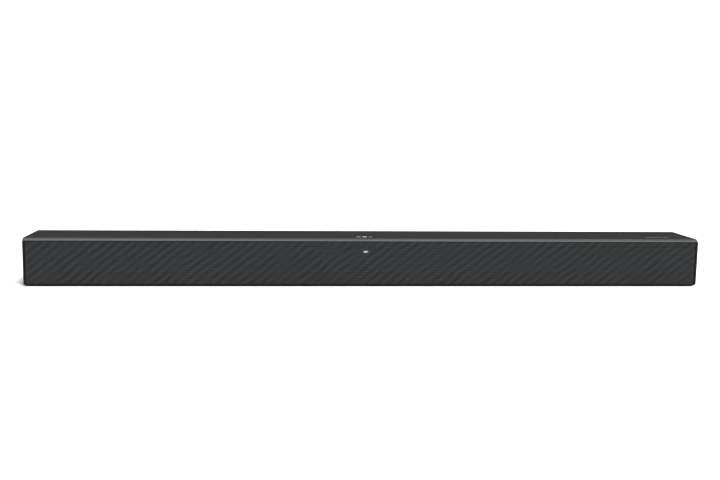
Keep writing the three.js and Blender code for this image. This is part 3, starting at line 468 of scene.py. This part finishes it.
pick(grille, "polygons", over_slot)
bpy.ops.mesh.delete(type="FACE")
bpy.ops.object.mode_set(mode="OBJECT")
bpy.ops.mesh.primitive_plane_add(
    size=1, location=(0, GRILLE_LOW.y, LIGHT_Z), rotation=(math.pi / 2, 0, 0),
)
slot_edge = bpy.context.object
slot_edge.scale = (*SLOT_SIZE, 1)
bpy.ops.object.transform_apply(location=True, rotation=True, scale=True)
bpy.ops.object.mode_set(mode="EDIT")
bpy.ops.mesh.select_all(action="SELECT")
bpy.ops.mesh.bevel(offset=0.0006, segments=3, affect="VERTICES")
bpy.ops.mesh.delete(type="ONLY_FACE")
bpy.ops.object.mode_set(mode="OBJECT")
only(grille)
slot_edge.select_set(True)
bpy.ops.object.join()
open_edges(grille, near_slot)
bpy.ops.mesh.fill()
bpy.ops.object.mode_set(mode="OBJECT")

# The plain margin round the holes, then the four edges folded back.
holes_x = max(v.co.x for v in grille.data.vertices)
holes_z = [f(v.co.z for v in grille.data.vertices) for f in (min, max)]
for end in (-1, 1):
    open_edges(grille, lambda p: min(
        abs(p.x * end - holes_x + k * HOLE_PITCH / 4) for k in range(3)
    ) < 0.00005)
    bpy.ops.mesh.extrude_edges_move()
    bpy.ops.transform.resize(value=(0, 1, 1), center_override=(end * GRILLE_HIGH.x, 0, 0))
    bpy.ops.mesh.remove_doubles(threshold=0.00002, use_unselected=True)
    bpy.ops.mesh.select_all(action="SELECT")
    bpy.ops.mesh.dissolve_degenerate(threshold=0.000002)
    bpy.ops.object.mode_set(mode="OBJECT")
for edge_z, goal in zip(holes_z, (GRILLE_LOW.z, GRILLE_HIGH.z)):
    open_edges(grille, lambda p: abs(p.z - edge_z) < 0.00001)
    bpy.ops.mesh.extrude_edges_move()
    bpy.ops.transform.translate(value=(0, 0, goal - edge_z))
    bpy.ops.object.mode_set(mode="OBJECT")


def at_rim(p):
    return (
        abs(p.x) > GRILLE_HIGH.x - 0.00001
        or p.z < GRILLE_LOW.z + 0.00001
        or p.z > GRILLE_HIGH.z - 0.00001
    )


open_edges(grille, at_rim)
bpy.ops.mesh.extrude_edges_move()
bpy.ops.transform.translate(value=(0, FOLD, 0))
bpy.ops.object.mode_set(mode="OBJECT")
pick(grille, "polygons", lambda p: True)
bpy.ops.mesh.normals_make_consistent(inside=False)
bpy.ops.object.mode_set(mode="OBJECT")
if sum(face.normal.y for face in grille.data.polygons) > 0:
    bpy.ops.object.mode_set(mode="EDIT")
    bpy.ops.mesh.flip_normals()
    bpy.ops.object.mode_set(mode="OBJECT")
pick(grille, "edges", lambda p: at_rim(p) and p.y < GRILLE_LOW.y + 0.00001)
bpy.ops.mesh.bevel(offset=0.0005, segments=2, affect="EDGES", clamp_overlap=True)
bpy.ops.object.mode_set(mode="OBJECT")

SEAM_X = 0.15
parts = []
for number, side in enumerate(("left", "centre", "right")):
    part = grille
    if number < 2:
        limit = (2 * number - 1) * SEAM_X
        only(grille)
        pick(grille, "polygons", lambda p: p.x < limit)
        bpy.ops.mesh.separate(type="SELECTED")
        bpy.ops.object.mode_set(mode="OBJECT")
        part = next(o for o in bpy.context.selected_objects if o != grille)
    part.name = f"grille_{side}"
    apply(part, "SOLIDIFY", thickness=SHEET, offset=-1, use_even_offset=True, use_rim=True)
    parts.append(part)
for part in parts:
    part.data.materials.clear()
    part.data.materials.append(bpy.data.materials["grille_paint_finish"])
    only(part)
    bpy.ops.object.shade_smooth_by_angle(angle=math.radians(32))
    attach(part, "cabinet")
    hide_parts("front_grille")

# ------------------------------------------------------------------ dust cloth
# A thin black knitted cloth, stretched flat and glued to the back of the grille. It hides the
# drivers and keeps dust out. The light comes through a small window cut in it.

CLOTH_LOW, CLOTH_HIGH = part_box("grille_cloth")
CLOTH_SIZE = (CLOTH_HIGH.x - CLOTH_LOW.x, CLOTH_HIGH.z - CLOTH_LOW.z)
STITCH = 0.0007

place, x, y, z = coordinates("dust_cloth")
wale = wave(x, STITCH)
rows = z * (2 * math.pi / STITCH) + wale
course = rows.maths("SINE", rows)
knit = wale * course * 0.5 + 0.5
coat(
    place,
    {
        "Base Color": colours(knit, shade(0.006), shade(0.016)),
        "Roughness": ramp(knit, 0, 1, 0.85, 0.98),
        "Specular IOR Level": 0.2,
        "Sheen Weight": 0.15,
    },
    knit, 0.00015, 0.7,
)
bpy.ops.mesh.primitive_grid_add(
    x_subdivisions=179, y_subdivisions=11, size=1,
    location=((CLOTH_LOW.x + CLOTH_HIGH.x) / 2, CLOTH_LOW.y, (CLOTH_LOW.z + CLOTH_HIGH.z) / 2),
    rotation=(math.pi / 2, 0, 0),
)
cloth = bpy.context.object
cloth.name = "stretched_cloth"
cloth.scale = (*CLOTH_SIZE, 1)
bpy.ops.object.transform_apply(location=True, rotation=True, scale=True)
window = SLOT_SIZE[0] / 2, SLOT_SIZE[1] / 2
for axis, middle in ((0, 0.0), (2, LIGHT_Z)):
    for side in (-1, 1):
        pick(cloth, "polygons", lambda p: abs(p.x) < 0.012 and abs(p.z - LIGHT_Z) < 0.012)
        at = [0, 0, LIGHT_Z]
        at[axis] = middle + side * window[axis // 2]
        bpy.ops.mesh.bisect(plane_co=at, plane_no=[float(axis == k) for k in range(3)])
        bpy.ops.object.mode_set(mode="OBJECT")
pick(
    cloth, "polygons",
    lambda p: abs(p.x) < window[0] - 0.00005 and abs(p.z - LIGHT_Z) < window[1] - 0.00005,
)
bpy.ops.mesh.delete(type="FACE")
bpy.ops.object.mode_set(mode="OBJECT")
apply(cloth, "SOLIDIFY", thickness=CLOTH_HIGH.y - CLOTH_LOW.y, offset=-1, use_rim=True)
cloth.data.materials.clear()
cloth.data.materials.append(bpy.data.materials["dust_cloth_finish"])
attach(cloth, "cabinet")
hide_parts("grille_cloth")

# ------------------------------------------------------------------ case and end caps
# The case is one deep black moulding: floor, rear wall and inner ends. A cap with rounded lower
# corners is pegged on at each end. All are ABS with a coarser grain than the lid's.

CASE_LOW, CASE_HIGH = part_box("lower_case")

place, x, y, z = coordinates("case_plastic")
pits = grain(place, 0.0009, 3.0, 0.6)
cloud = grain(place, 0.04, 3.0)
scuffs = ramp(grain(place, 0.012, 5.0, 0.7), 0.6, 0.75) * ramp(z, 0.006, 0.0015)
tone = colours(0.4 * pits + 0.6 * cloud, shade(0.0045), shade(0.0075))
coat(
    place,
    {
        "Base Color": colours(scuffs * 0.3, tone, shade(0.03)),
        "Roughness": ramp(pits, 0.2, 0.8, 0.5, 0.68),
        "Specular IOR Level": 0.22,
    },
    pits, 0.00009, 0.6,
)

case = from_cad("lower_case", "case_moulding")
round_edges(case, 0.0005, 2, lambda p: p.y > CASE_HIGH.y - 0.0001 or p.z < CASE_LOW.z + 0.0001)
finish_piece(case, "cabinet", "case_plastic", "case_plastic", "lower_case")
for side in ("left", "right"):
    low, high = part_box(f"{side}_end_cap")
    outer = low.x if side == "left" else high.x
    cap = from_cad(f"{side}_end_cap", f"{side}_cap")
    round_edges(cap, 0.0006, 3, lambda p: abs(p.x - outer) < 0.0036 and (
        p.y < low.y + 0.0001 or p.y > high.y - 0.0001 or p.z > high.z - 0.0001
    ))
    finish_piece(cap, "cabinet", "case_plastic", "case_plastic", f"{side}_end_cap")

# ------------------------------------------------------------------ grille frame and baffle
# Two black ABS mouldings behind the cloth: an open frame whose ribs are pegged through the baffle,
# and the baffle, which carries the drivers. Hidden in use, so both keep their flow marks.


def give_finish(finish, *nodes):
    """Gives CAD nodes whose shape is kept the material of that name."""
    for node in nodes:
        for holder in frame["nodes"][node].material_slots:
            holder.material = bpy.data.materials[f"{finish}_finish"]


def stretch(place, along, across, up):
    """The same coordinates, scaled on each axis, so that a grain on them is drawn out."""
    return place.node(
        "ShaderNodeVectorMath", {"operation": "MULTIPLY"}, {0: place, 1: (along, across, up)},
    )


place, x, y, z = coordinates("hidden_moulding")
flow = grain(stretch(place, 0.25, 1, 1), 0.008, 4.0, 0.65)
pits = grain(place, 0.0007)
coat(
    place,
    {
        "Base Color": colours(flow, shade(0.008), shade(0.016)),
        "Roughness": ramp(flow, 0.3, 0.7, 0.36, 0.6),
        "Specular IOR Level": 0.35,
    },
    0.5 * pits + 0.5 * flow, 0.00005, 0.5,
)
give_finish("hidden_moulding", "grille_frame", "front_baffle")

# ------------------------------------------------------------------ woofers
# Two racetrack woofers: a stamped and black-coated steel basket with a ferrite magnet between
# plated plates, and a coated paper cone that moves on a soft rubber surround glued to the rim.

CONE_LOW, CONE_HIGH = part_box("right_woofer_cone")
WOOFER_X = (CONE_LOW.x + CONE_HIGH.x) / 2
DRIVER_Z = (CONE_LOW.z + CONE_HIGH.z) / 2
CONE_STRAIGHT = (CONE_HIGH.x - CONE_LOW.x - CONE_HIGH.z + CONE_LOW.z) / 2
MAGNET_LOW, MAGNET_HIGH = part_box("right_woofer_magnet")
PLATE = 0.0035
# The step between the turning rings that the surround's mould leaves on it.
MOULD_RING = 0.0016


def reach(x, z, middle, straight=0.0):
    """Distance from a driver's axis, or from the middle line of an oblong one, on either side."""
    along = most(abs(abs(x) - middle) - straight, 0)
    return root(along * along + (z - DRIVER_Z) * (z - DRIVER_Z))


place, x, y, z = coordinates("coated_steel")
peel = grain(place, 0.0018, 2.0, 0.4)
chips = ramp(grain(place, 0.0035, 5.0, 0.75), 0.7, 0.74)
coat(
    place,
    {
        "Base Color": colours(chips, colours(peel, shade(0.011), shade(0.017)), shade(0.12)),
        "Roughness": ramp(peel, 0.3, 0.7, 0.34, 0.48),
        "Specular IOR Level": 0.4,
    },
    peel, 0.00006, 0.5,
)
place, x, y, z = coordinates("magnet")
core = inside(
    y, (MAGNET_LOW.y + MAGNET_HIGH.y) / 2, (MAGNET_HIGH.y - MAGNET_LOW.y) / 2 - PLATE, 0.0002,
)
speckle = grain(place, 0.0005, 4.0, 0.7)
coat(
    place,
    {
        "Base Color": colours(
            core,
            colours(speckle, (0.5, 0.5, 0.47, 1), (0.62, 0.61, 0.56, 1)),
            colours(speckle, shade(0.022), shade(0.045)),
        ),
        "Metallic": 1 - core,
        "Roughness": ramp(core, 0, 1, 0.32, 0.6) + speckle * 0.08,
    },
    speckle, 0.00008, 0.6,
)
place, x, y, z = coordinates("surround")
from_axis = reach(x, z, WOOFER_X, CONE_STRAIGHT)
dust = ramp(grain(place, 0.004, 5.0, 0.7), 0.45, 0.8)
moulded = wave(from_axis, MOULD_RING)
coat(
    place,
    {
        "Base Color": colours(dust * 0.35, shade(0.006), shade(0.024)),
        "Roughness": ramp(dust, 0, 1, 0.42, 0.66),
        "Specular IOR Level": 0.35,
    },
    moulded * 0.1 + grain(place, 0.0004), 0.00004, 0.5,
)
place, x, y, z = coordinates("cone_paper")
from_axis = reach(x, z, WOOFER_X, CONE_STRAIGHT)
fibre = grain(place, 0.0009, 6.0, 0.75)
felt = grain(from_axis.node("ShaderNodeCombineXYZ", {}, {0: from_axis, 1: x * 0.2}), 0.0025, 3.0)
coat(
    place,
    {
        "Base Color": colours(0.6 * fibre + 0.4 * felt, shade(0.009), shade(0.021)),
        "Roughness": ramp(fibre, 0.3, 0.7, 0.68, 0.86),
        "Specular IOR Level": 0.25,
    },
    0.7 * fibre + 0.3 * felt, 0.00012, 0.7,
)
for side in ("left", "right"):
    woofer = f"{side}_woofer"
    basket = from_cad(f"{woofer}_basket", f"{woofer}_frame")
    rim_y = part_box(f"{woofer}_basket")[0].y
    round_edges(basket, 0.0003, 2, lambda p: p.y < rim_y + 0.00005)
    finish_piece(basket, "cabinet", "coated_steel", "black_steel", f"{woofer}_basket")
    motor = from_cad(f"{woofer}_magnet", f"{woofer}_motor")
    finish_piece(motor, "cabinet", "magnet", "ferrite", f"{woofer}_magnet")
    roll = from_cad(f"{woofer}_surround", f"{woofer}_roll")
    finish_piece(roll, "cabinet", "surround", "surround_rubber", f"{woofer}_surround")
    paper = from_cad(f"{woofer}_cone", f"{woofer}_paper")
    finish_piece(paper, f"{woofer}_cone", "cone_paper", "cone_paper", f"{woofer}_cone")

# ------------------------------------------------------------------ tweeters
# Two small dome tweeters outside the woofers: a black steel face with a neodymium motor behind
# it, and a dome of coated silk, whose weave still shows through the damping lacquer.

DOME_LOW, DOME_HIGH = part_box("right_tweeter_dome")
TWEETER_X = (DOME_LOW.x + DOME_HIGH.x) / 2
THREAD = 0.00032

place, x, y, z = coordinates("silk_dome")
warp = wave(x, THREAD)
weft = wave(z, THREAD)
weave = warp * weft * 0.5 + 0.5
pooled = ramp(reach(x, z, TWEETER_X), 0.004, 0.009)
coat(
    place,
    {
        "Base Color": colours(weave, shade(0.006), shade(0.017)),
        "Roughness": 0.62 - pooled * 0.26 + weave * 0.1,
        "Specular IOR Level": 0.4,
    },
    weave * (1 - pooled * 0.6), 0.00004, 0.6,
)
for side in ("left", "right"):
    tweeter = f"{side}_tweeter"
    face = from_cad(f"{tweeter}_body", f"{tweeter}_face")
    rim_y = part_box(f"{tweeter}_body")[0].y
    round_edges(face, 0.0003, 2, lambda p: p.y < rim_y + 0.00005)
    finish_piece(face, "cabinet", "coated_steel", "black_steel", f"{tweeter}_body")
    silk = from_cad(f"{tweeter}_dome", f"{tweeter}_silk")
    finish_piece(silk, f"{tweeter}_dome", "silk_dome", "dome_silk", f"{tweeter}_dome")

# ------------------------------------------------------------------ boards
# Four boards of glass and epoxy laminate under green solder mask. Two lie on posts in the case,
# one is under the keys and one behind the baffle. Copper tracks lift the mask a little.

BOARD_NODES = ("main_board", "power_board", "key_board", "light_board")

place, x, y, z = coordinates("board")
tracks = place.node(
    "ShaderNodeTexBrick", {"offset": 0.37, "squash": 0.6},
    {
        "Vector": stretch(place, 1, 1, 0.2), "Scale": 95.0, "Mortar Size": 0.022,
        "Brick Width": 0.8, "Row Height": 0.21,
        "Color1": (0, 0, 0, 1), "Color2": (0.3, 0.3, 0.3, 1), "Mortar": (1, 1, 1, 1),
    },
)
copper = tracks.node("ShaderNodeRGBToBW", {}, {0: tracks})
weave = grain(place, 0.0004, 2.0)
coat(
    place,
    {
        "Base Color": colours(copper, (0.006, 0.045, 0.018, 1), (0.014, 0.11, 0.04, 1)),
        "Roughness": ramp(weave, 0.2, 0.8, 0.26, 0.38),
        "Coat Weight": 0.4,
        "Coat Roughness": 0.15,
    },
    copper * 0.7 + weave * 0.3, 0.00004, 0.6,
)
give_finish("board", *BOARD_NODES)

# ------------------------------------------------------------------ parts on the boards
# Tact switches under the keys, a finned aluminium heatsink, a tinned shield over the wireless
# module, a taped mains transformer, a sleeved capacitor and the eye of the remote receiver.

place, x, y, z = coordinates("switch_body")
speckle = grain(place, 0.0005, 3.0)
coat(
    place,
    {
        "Base Color": colours(speckle, shade(0.014), shade(0.024)),
        "Roughness": ramp(speckle, 0.2, 0.8, 0.4, 0.55),
    },
    speckle, 0.00003, 0.5,
)
give_finish("switch_body", *[f"{key}_switch" for key in ("volume_down", "power", "volume_up")])

place, x, y, z = coordinates("heatsink")
drawn = grain(stretch(place, 0.04, 1, 1), 0.0006, 3.0, 0.7)
dull = grain(place, 0.012, 4.0)
coat(
    place,
    {
        "Base Color": colours(dull, (0.6, 0.61, 0.62, 1), (0.78, 0.79, 0.8, 1)),
        "Metallic": 1.0,
        "Roughness": ramp(drawn, 0.3, 0.7, 0.28, 0.46),
    },
    drawn, 0.00003, 0.5,
)
give_finish("heatsink", "heatsink")

place, x, y, z = coordinates("tinned_steel")
rolled = grain(stretch(place, 0.1, 1, 1), 0.0008, 3.0, 0.6)
stain = ramp(grain(place, 0.006, 4.0, 0.7), 0.45, 0.75)
coat(
    place,
    {
        "Base Color": colours(stain, (0.68, 0.67, 0.64, 1), (0.5, 0.48, 0.44, 1)),
        "Metallic": 1.0,
        "Roughness": ramp(rolled, 0.3, 0.7, 0.2, 0.34) + stain * 0.12,
    },
    rolled, 0.00002, 0.5,
)
give_finish("tinned_steel", "wireless_module")

TAPE_LAP = 0.0045
place, x, y, z = coordinates("winding_tape")
lap = wave(z, TAPE_LAP)
crease = grain(place, 0.0022, 4.0, 0.7)
coat(
    place,
    {
        "Base Color": colours(
            ramp(lap, 0.8, 1.0) * 0.5 + crease * 0.4,
            (0.4, 0.25, 0.025, 1), (0.22, 0.13, 0.012, 1),
        ),
        "Roughness": ramp(crease, 0.3, 0.7, 0.3, 0.5),
    },
    lap * 0.2 + crease * 0.5, 0.0001, 0.6,
)
give_finish("winding_tape", "transformer")

CAN_LOW, CAN_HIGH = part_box("bulk_capacitor")
place, x, y, z = coordinates("capacitor")
wrinkle = grain(place, 0.0012, 3.0)
lid_metal = ramp(z, CAN_HIGH.z - 0.0006, CAN_HIGH.z - 0.0002)
pole = inside(x, CAN_LOW.x, 0.002, 0.0002) * (1 - lid_metal)
sleeve = colours(pole, (0.012, 0.014, 0.03, 1), (0.4, 0.42, 0.45, 1))
coat(
    place,
    {
        "Base Color": colours(lid_metal, sleeve, (0.72, 0.72, 0.73, 1)),
        "Metallic": lid_metal,
        "Roughness": ramp(wrinkle, 0.3, 0.7, 0.24, 0.36),
    },
    wrinkle, 0.00004, 0.5,
)
give_finish("capacitor", "bulk_capacitor")

place, x, y, z = coordinates("receiver_resin")
haze = grain(place, 0.0012, 3.0)
coat(
    place,
    {
        "Base Color": colours(haze, (0.012, 0.006, 0.008, 1), (0.022, 0.01, 0.012, 1)),
        "Roughness": ramp(haze, 0.3, 0.7, 0.08, 0.16),
        "Coat Weight": 0.6,
        "Coat Roughness": 0.06,
    },
)
give_finish("receiver_resin", "remote_receiver")

# ------------------------------------------------------------------ connection bay and sockets
# A recessed bay is moulded for the signal sockets. Their shells come up to its floor from the
# board behind: two plated and two black, each with its own tongue or contacts.

# Height of the tongue's middle over or under the socket's, half its width and half its height,
# and the pitch of its contacts.
TONGUES = {
    "hdmi_socket": (0.00015, 0.0058, 0.0006, 0.001),
    "usb_socket": (0.0011, 0.0055, 0.00095, 0.0025),
}

give_finish("case_plastic", "connection_bay", "power_bay")
for node, (lift, half_width, half_height, pitch) in TONGUES.items():
    low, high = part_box(node)
    middle_x, middle_z = (low.x + high.x) / 2, (low.z + high.z) / 2 + lift
    place, x, y, z = coordinates(node)
    tongue = inside(x, middle_x, half_width + 0.0001) * inside(z, middle_z, half_height + 0.0001)
    gold = ramp(wave(x - middle_x, pitch, "COSINE"), 0.1, 0.3)
    gold = gold * inside(x, middle_x, half_width - 0.0006) * tongue
    rolled = grain(stretch(place, 1, 0.1, 1), 0.0008, 3.0, 0.6)
    shell = colours(rolled, (0.5, 0.49, 0.46, 1), (0.64, 0.63, 0.6, 1))
    blade = colours(gold, shade(0.012), (0.72, 0.5, 0.18, 1))
    coat(
        place,
        {
            "Base Color": colours(tongue, shell, blade),
            "Metallic": most(1 - tongue, gold),
            "Roughness": ramp(rolled, 0.3, 0.7, 0.24, 0.38),
        },
        rolled * 0.3 + gold, 0.00003, 0.6,
    )
    give_finish(node, node)

place, x, y, z = coordinates("glossy_plastic")
swirl = grain(place, 0.005, 3.0)
pits = grain(place, 0.0006)
coat(
    place,
    {
        "Base Color": colours(swirl, shade(0.008), shade(0.014)),
        "Roughness": ramp(swirl, 0.3, 0.7, 0.22, 0.34),
        "Specular IOR Level": 0.45,
    },
    pits, 0.00002, 0.5,
)
give_finish("glossy_plastic", "optical_socket", "audio_socket")

# ------------------------------------------------------------------ mains inlet
# A two-pin inlet with a round-ended mouth, moulded in black polyamide, with two nickel-plated
# brass pins. A lead runs from behind it to the power board.

PIN_RADIUS = 0.00135
INLET_LOW, INLET_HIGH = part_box("mains_inlet")
INLET_X = (INLET_LOW.x + INLET_HIGH.x) / 2
INLET_Z = 0.0255
PIN_APART = 0.0043

place, x, y, z = coordinates("inlet")
across = abs(x - INLET_X) - PIN_APART
from_pin = root(across * across + (z - INLET_Z) * (z - INLET_Z))
pin = 1 - ramp(from_pin, PIN_RADIUS, PIN_RADIUS + 0.00005)
pits = grain(place, 0.0006)
coat(
    place,
    {
        "Base Color": colours(
            pin, colours(pits, shade(0.009), shade(0.016)), (0.62, 0.6, 0.55, 1),
        ),
        "Metallic": pin,
        "Roughness": ramp(pits, 0.3, 0.7, 0.42, 0.56) - pin * 0.2,
    },
    pits * (1 - pin), 0.00004, 0.5,
)
give_finish("inlet", "mains_inlet")

# ------------------------------------------------------------------ hanger plates
# Two keyhole plates pressed from zinc-plated steel and let into the rear wall. A closed cup
# welded behind each takes the head of the wall screw.

place, x, y, z = coordinates("zinc_plate")
spangle = place.node(
    "ShaderNodeTexVoronoi", {"feature": "F1"}, {"Vector": place, "Scale": 420.0}, "Color",
)
spangle = spangle.node("ShaderNodeRGBToBW", {}, {0: spangle})
rubbed = ramp(grain(place, 0.004, 5.0, 0.7), 0.5, 0.75)
coat(
    place,
    {
        "Base Color": colours(spangle, (0.3, 0.305, 0.3, 1), (0.44, 0.44, 0.42, 1)),
        "Metallic": 1.0,
        "Roughness": ramp(spangle, 0.2, 0.8, 0.3, 0.42) + rubbed * 0.12,
    },
    spangle * 0.3 + rubbed * 0.3, 0.00002, 0.4,
)
for side in ("left", "right"):
    node = f"{side}_hanger_plate"
    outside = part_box(node)[1].y
    plate = from_cad(node, f"{side}_keyhole_plate")
    round_edges(plate, 0.0003, 2, lambda p: p.y > outside - 0.00005)
    finish_piece(plate, "cabinet", "zinc_plate", "plated_steel", node)

# ------------------------------------------------------------------ feet
# Four soft rubber pads, moulded with rounded rims and glued into shallow seats under the case.

place, x, y, z = coordinates("foot_rubber")
pits = grain(place, 0.0008, 3.0)
lint = ramp(grain(place, 0.0025, 6.0, 0.8), 0.62, 0.7) * ramp(z, 0.0008, 0.0002)
coat(
    place,
    {
        "Base Color": colours(lint, colours(pits, shade(0.009), shade(0.014)), shade(0.07)),
        "Roughness": ramp(pits, 0.3, 0.7, 0.74, 0.88),
        "Specular IOR Level": 0.3,
    },
    pits, 0.00008, 0.6,
)
for node in ("front_left_foot", "front_right_foot", "rear_left_foot", "rear_right_foot"):
    pad = from_cad(node, node.replace("_foot", "_pad"))
    round_edges(pad, 0.0004, 3, lambda p: p.z < 0.0001)
    finish_piece(pad, "cabinet", "foot_rubber", "rubber", node)

# ------------------------------------------------------------------ screws
# Six pan-head screws with a cross recess, in blackened steel, hold the case up to the lid.

SCREWS = ("rear_left", "rear_right", "rear_centre_left", "rear_centre_right",
          "front_centre_left", "front_centre_right")

place, x, y, z = coordinates("blackened_steel")
scratch = ramp(grain(stretch(place, 1, 0.1, 1), 0.0003, 4.0, 0.7), 0.6, 0.72)
oxide = grain(place, 0.0006, 3.0)
coat(
    place,
    {
        "Base Color": colours(scratch * 0.5, colours(oxide, shade(0.02), shade(0.04)), shade(0.3)),
        "Metallic": 0.7,
        "Roughness": ramp(oxide, 0.3, 0.7, 0.32, 0.48),
    },
    oxide, 0.00002, 0.5,
)
for name in SCREWS:
    node = f"{name}_screw"
    low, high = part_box(node)
    screw = from_cad(node, f"{name}_case_screw")
    round_edges(screw, 0.0002, 2, lambda p: p.z < low.z + 0.0001)
    finish_piece(screw, "cabinet", "blackened_steel", "black_steel", node)

# ------------------------------------------------------------------ leads
# Short wires in PVC sleeves join the drivers, boards, keys and inlet. They lie still in the closed
# case, so they are solid parts.

place, x, y, z = coordinates("sleeve_pvc")
rub = grain(place, 0.002, 4.0)
coat(
    place,
    {
        "Base Color": colours(rub, shade(0.01), shade(0.018)),
        "Roughness": ramp(rub, 0.3, 0.7, 0.36, 0.5),
        "Specular IOR Level": 0.45,
    },
    rub, 0.00003, 0.5,
)
give_finish("sleeve_pvc", "left_speaker_lead", "right_speaker_lead", "mains_lead", "board_lead",
            "key_lead")

# ------------------------------------------------------------------ status light
# A clear light pipe with a milky face, moulded in one piece. It stands in the grille's slot,
# flush with the sheet, and a white diode on the board behind lights it.

place, x, y, z = coordinates("light_pipe_resin")
face = ramp(y, LIGHT_LOW.y + 0.003, LIGHT_LOW.y + 0.0005)
hot = inside(x, -0.0003, 0.0022, 0.0005) * inside(z, LIGHT_Z - 0.0001, 0.0008, 0.0003)
coat(
    place,
    {
        "Base Color": colours(
            hot, colours(grain(place, 0.002), shade(0.05), shade(0.07)), (0.36, 0.37, 0.38, 1),
        ),
        "Roughness": ramp(grain(place, 0.001), 0.3, 0.7, 0.25, 0.35),
        "Emission Color": colours(face * hot, (0, 0, 0, 1), (0.93, 0.97, 1.0, 1)),
        "Emission Strength": 0.17,
    },
)
pipe = from_cad("light_pipe", "light_lens")
round_edges(pipe, 0.0005, 3, lambda p: p.y < LIGHT_LOW.y + 0.0001)
finish_piece(pipe, "cabinet", "light_pipe_resin", "light_lens", "light_pipe")

# ------------------------------------------------------------------ floor, light and camera
# Not part of the bar: a plain white floor, a wide panel light above and behind it, a broad soft
# sun from the front right, and the camera.

bpy.ops.mesh.primitive_plane_add(size=24, location=(0, 6, 0))
floor = bpy.context.object
floor.name = "floor"
place, x, y, z = coordinates("floor_white")
coat(place, {
    "Base Color": colours(grain(place, 0.4), shade(0.86), shade(0.88)),
    "Roughness": 0.9,
    "Specular IOR Level": 0.1,
})
floor.data.materials.append(bpy.data.materials["floor_white_finish"])

world = bpy.data.worlds.new("studio")
bpy.context.scene.world = world
world.use_nodes = True
world.node_tree.nodes.clear()
air = Wire(world.node_tree, None)
seen = air.node("ShaderNodeLightPath", {}, {}, "Is Camera Ray")
sky = seen.node("ShaderNodeBackground", {}, {
    "Color": (1, 1, 1, 1), "Strength": ramp(seen, 0.4, 0.6, 0.4, 1.2),
})
out = world.node_tree.nodes.new("ShaderNodeOutputWorld")
world.node_tree.links.new(sky.socket, out.inputs["Surface"])


def panel_light(name, place, target, size, power):
    """A soft rectangular light at place, facing target."""
    data = bpy.data.lights.new(name, "AREA")
    data.shape = "RECTANGLE"
    data.size, data.size_y = size
    data.energy = power
    light = bpy.data.objects.new(name, data)
    bpy.context.scene.collection.objects.link(light)
    light.location = place
    direction = light.location.copy()
    direction.x, direction.y, direction.z = (t - p for t, p in zip(target, place))
    light.rotation_mode = "QUATERNION"
    light.rotation_quaternion = direction.to_track_quat("-Z", "Y")


OVERHEAD_PLACE = (0.1, 1.3, 2.2)
OVERHEAD_SIZE = (3.2, 1.3)
OVERHEAD_POWER = 30
SUN_STRENGTH = 4.8
SUN_SPREAD = math.radians(25)
SUN_TURN = (math.radians(34), 0, math.radians(32))

panel_light("overhead", OVERHEAD_PLACE, (0, 0, 0), OVERHEAD_SIZE, OVERHEAD_POWER)

data = bpy.data.lights.new("key", "SUN")
data.energy = SUN_STRENGTH
data.angle = SUN_SPREAD
key_light = bpy.data.objects.new("key", data)
bpy.context.scene.collection.objects.link(key_light)
key_light.rotation_euler = SUN_TURN

CAMERA_PLACE = (-0.1177, -1.303, 0.2312)
CAMERA_TURN = math.radians(2.967)
CAMERA_DIP = math.radians(8.028)
CAMERA_ROLL = math.radians(0.535)
CAMERA_LENS = 48.07
CAMERA_SHIFT = (0.0464, 0.0095)
data = bpy.data.cameras.new("camera")
data.sensor_width = 36
data.lens = CAMERA_LENS
data.shift_x, data.shift_y = CAMERA_SHIFT
data.clip_start, data.clip_end = 0.01, 100
camera = bpy.data.objects.new("camera", data)
bpy.context.scene.collection.objects.link(camera)
camera.location = CAMERA_PLACE
camera.rotation_mode = "XYZ"
level = Euler((math.pi / 2 - CAMERA_DIP, 0, -CAMERA_TURN)).to_matrix()
camera.rotation_euler = (level @ Matrix.Rotation(CAMERA_ROLL, 3, "Z")).to_euler()
bpy.context.scene.camera = camera
bpy.context.scene.view_settings.view_transform = "Standard"
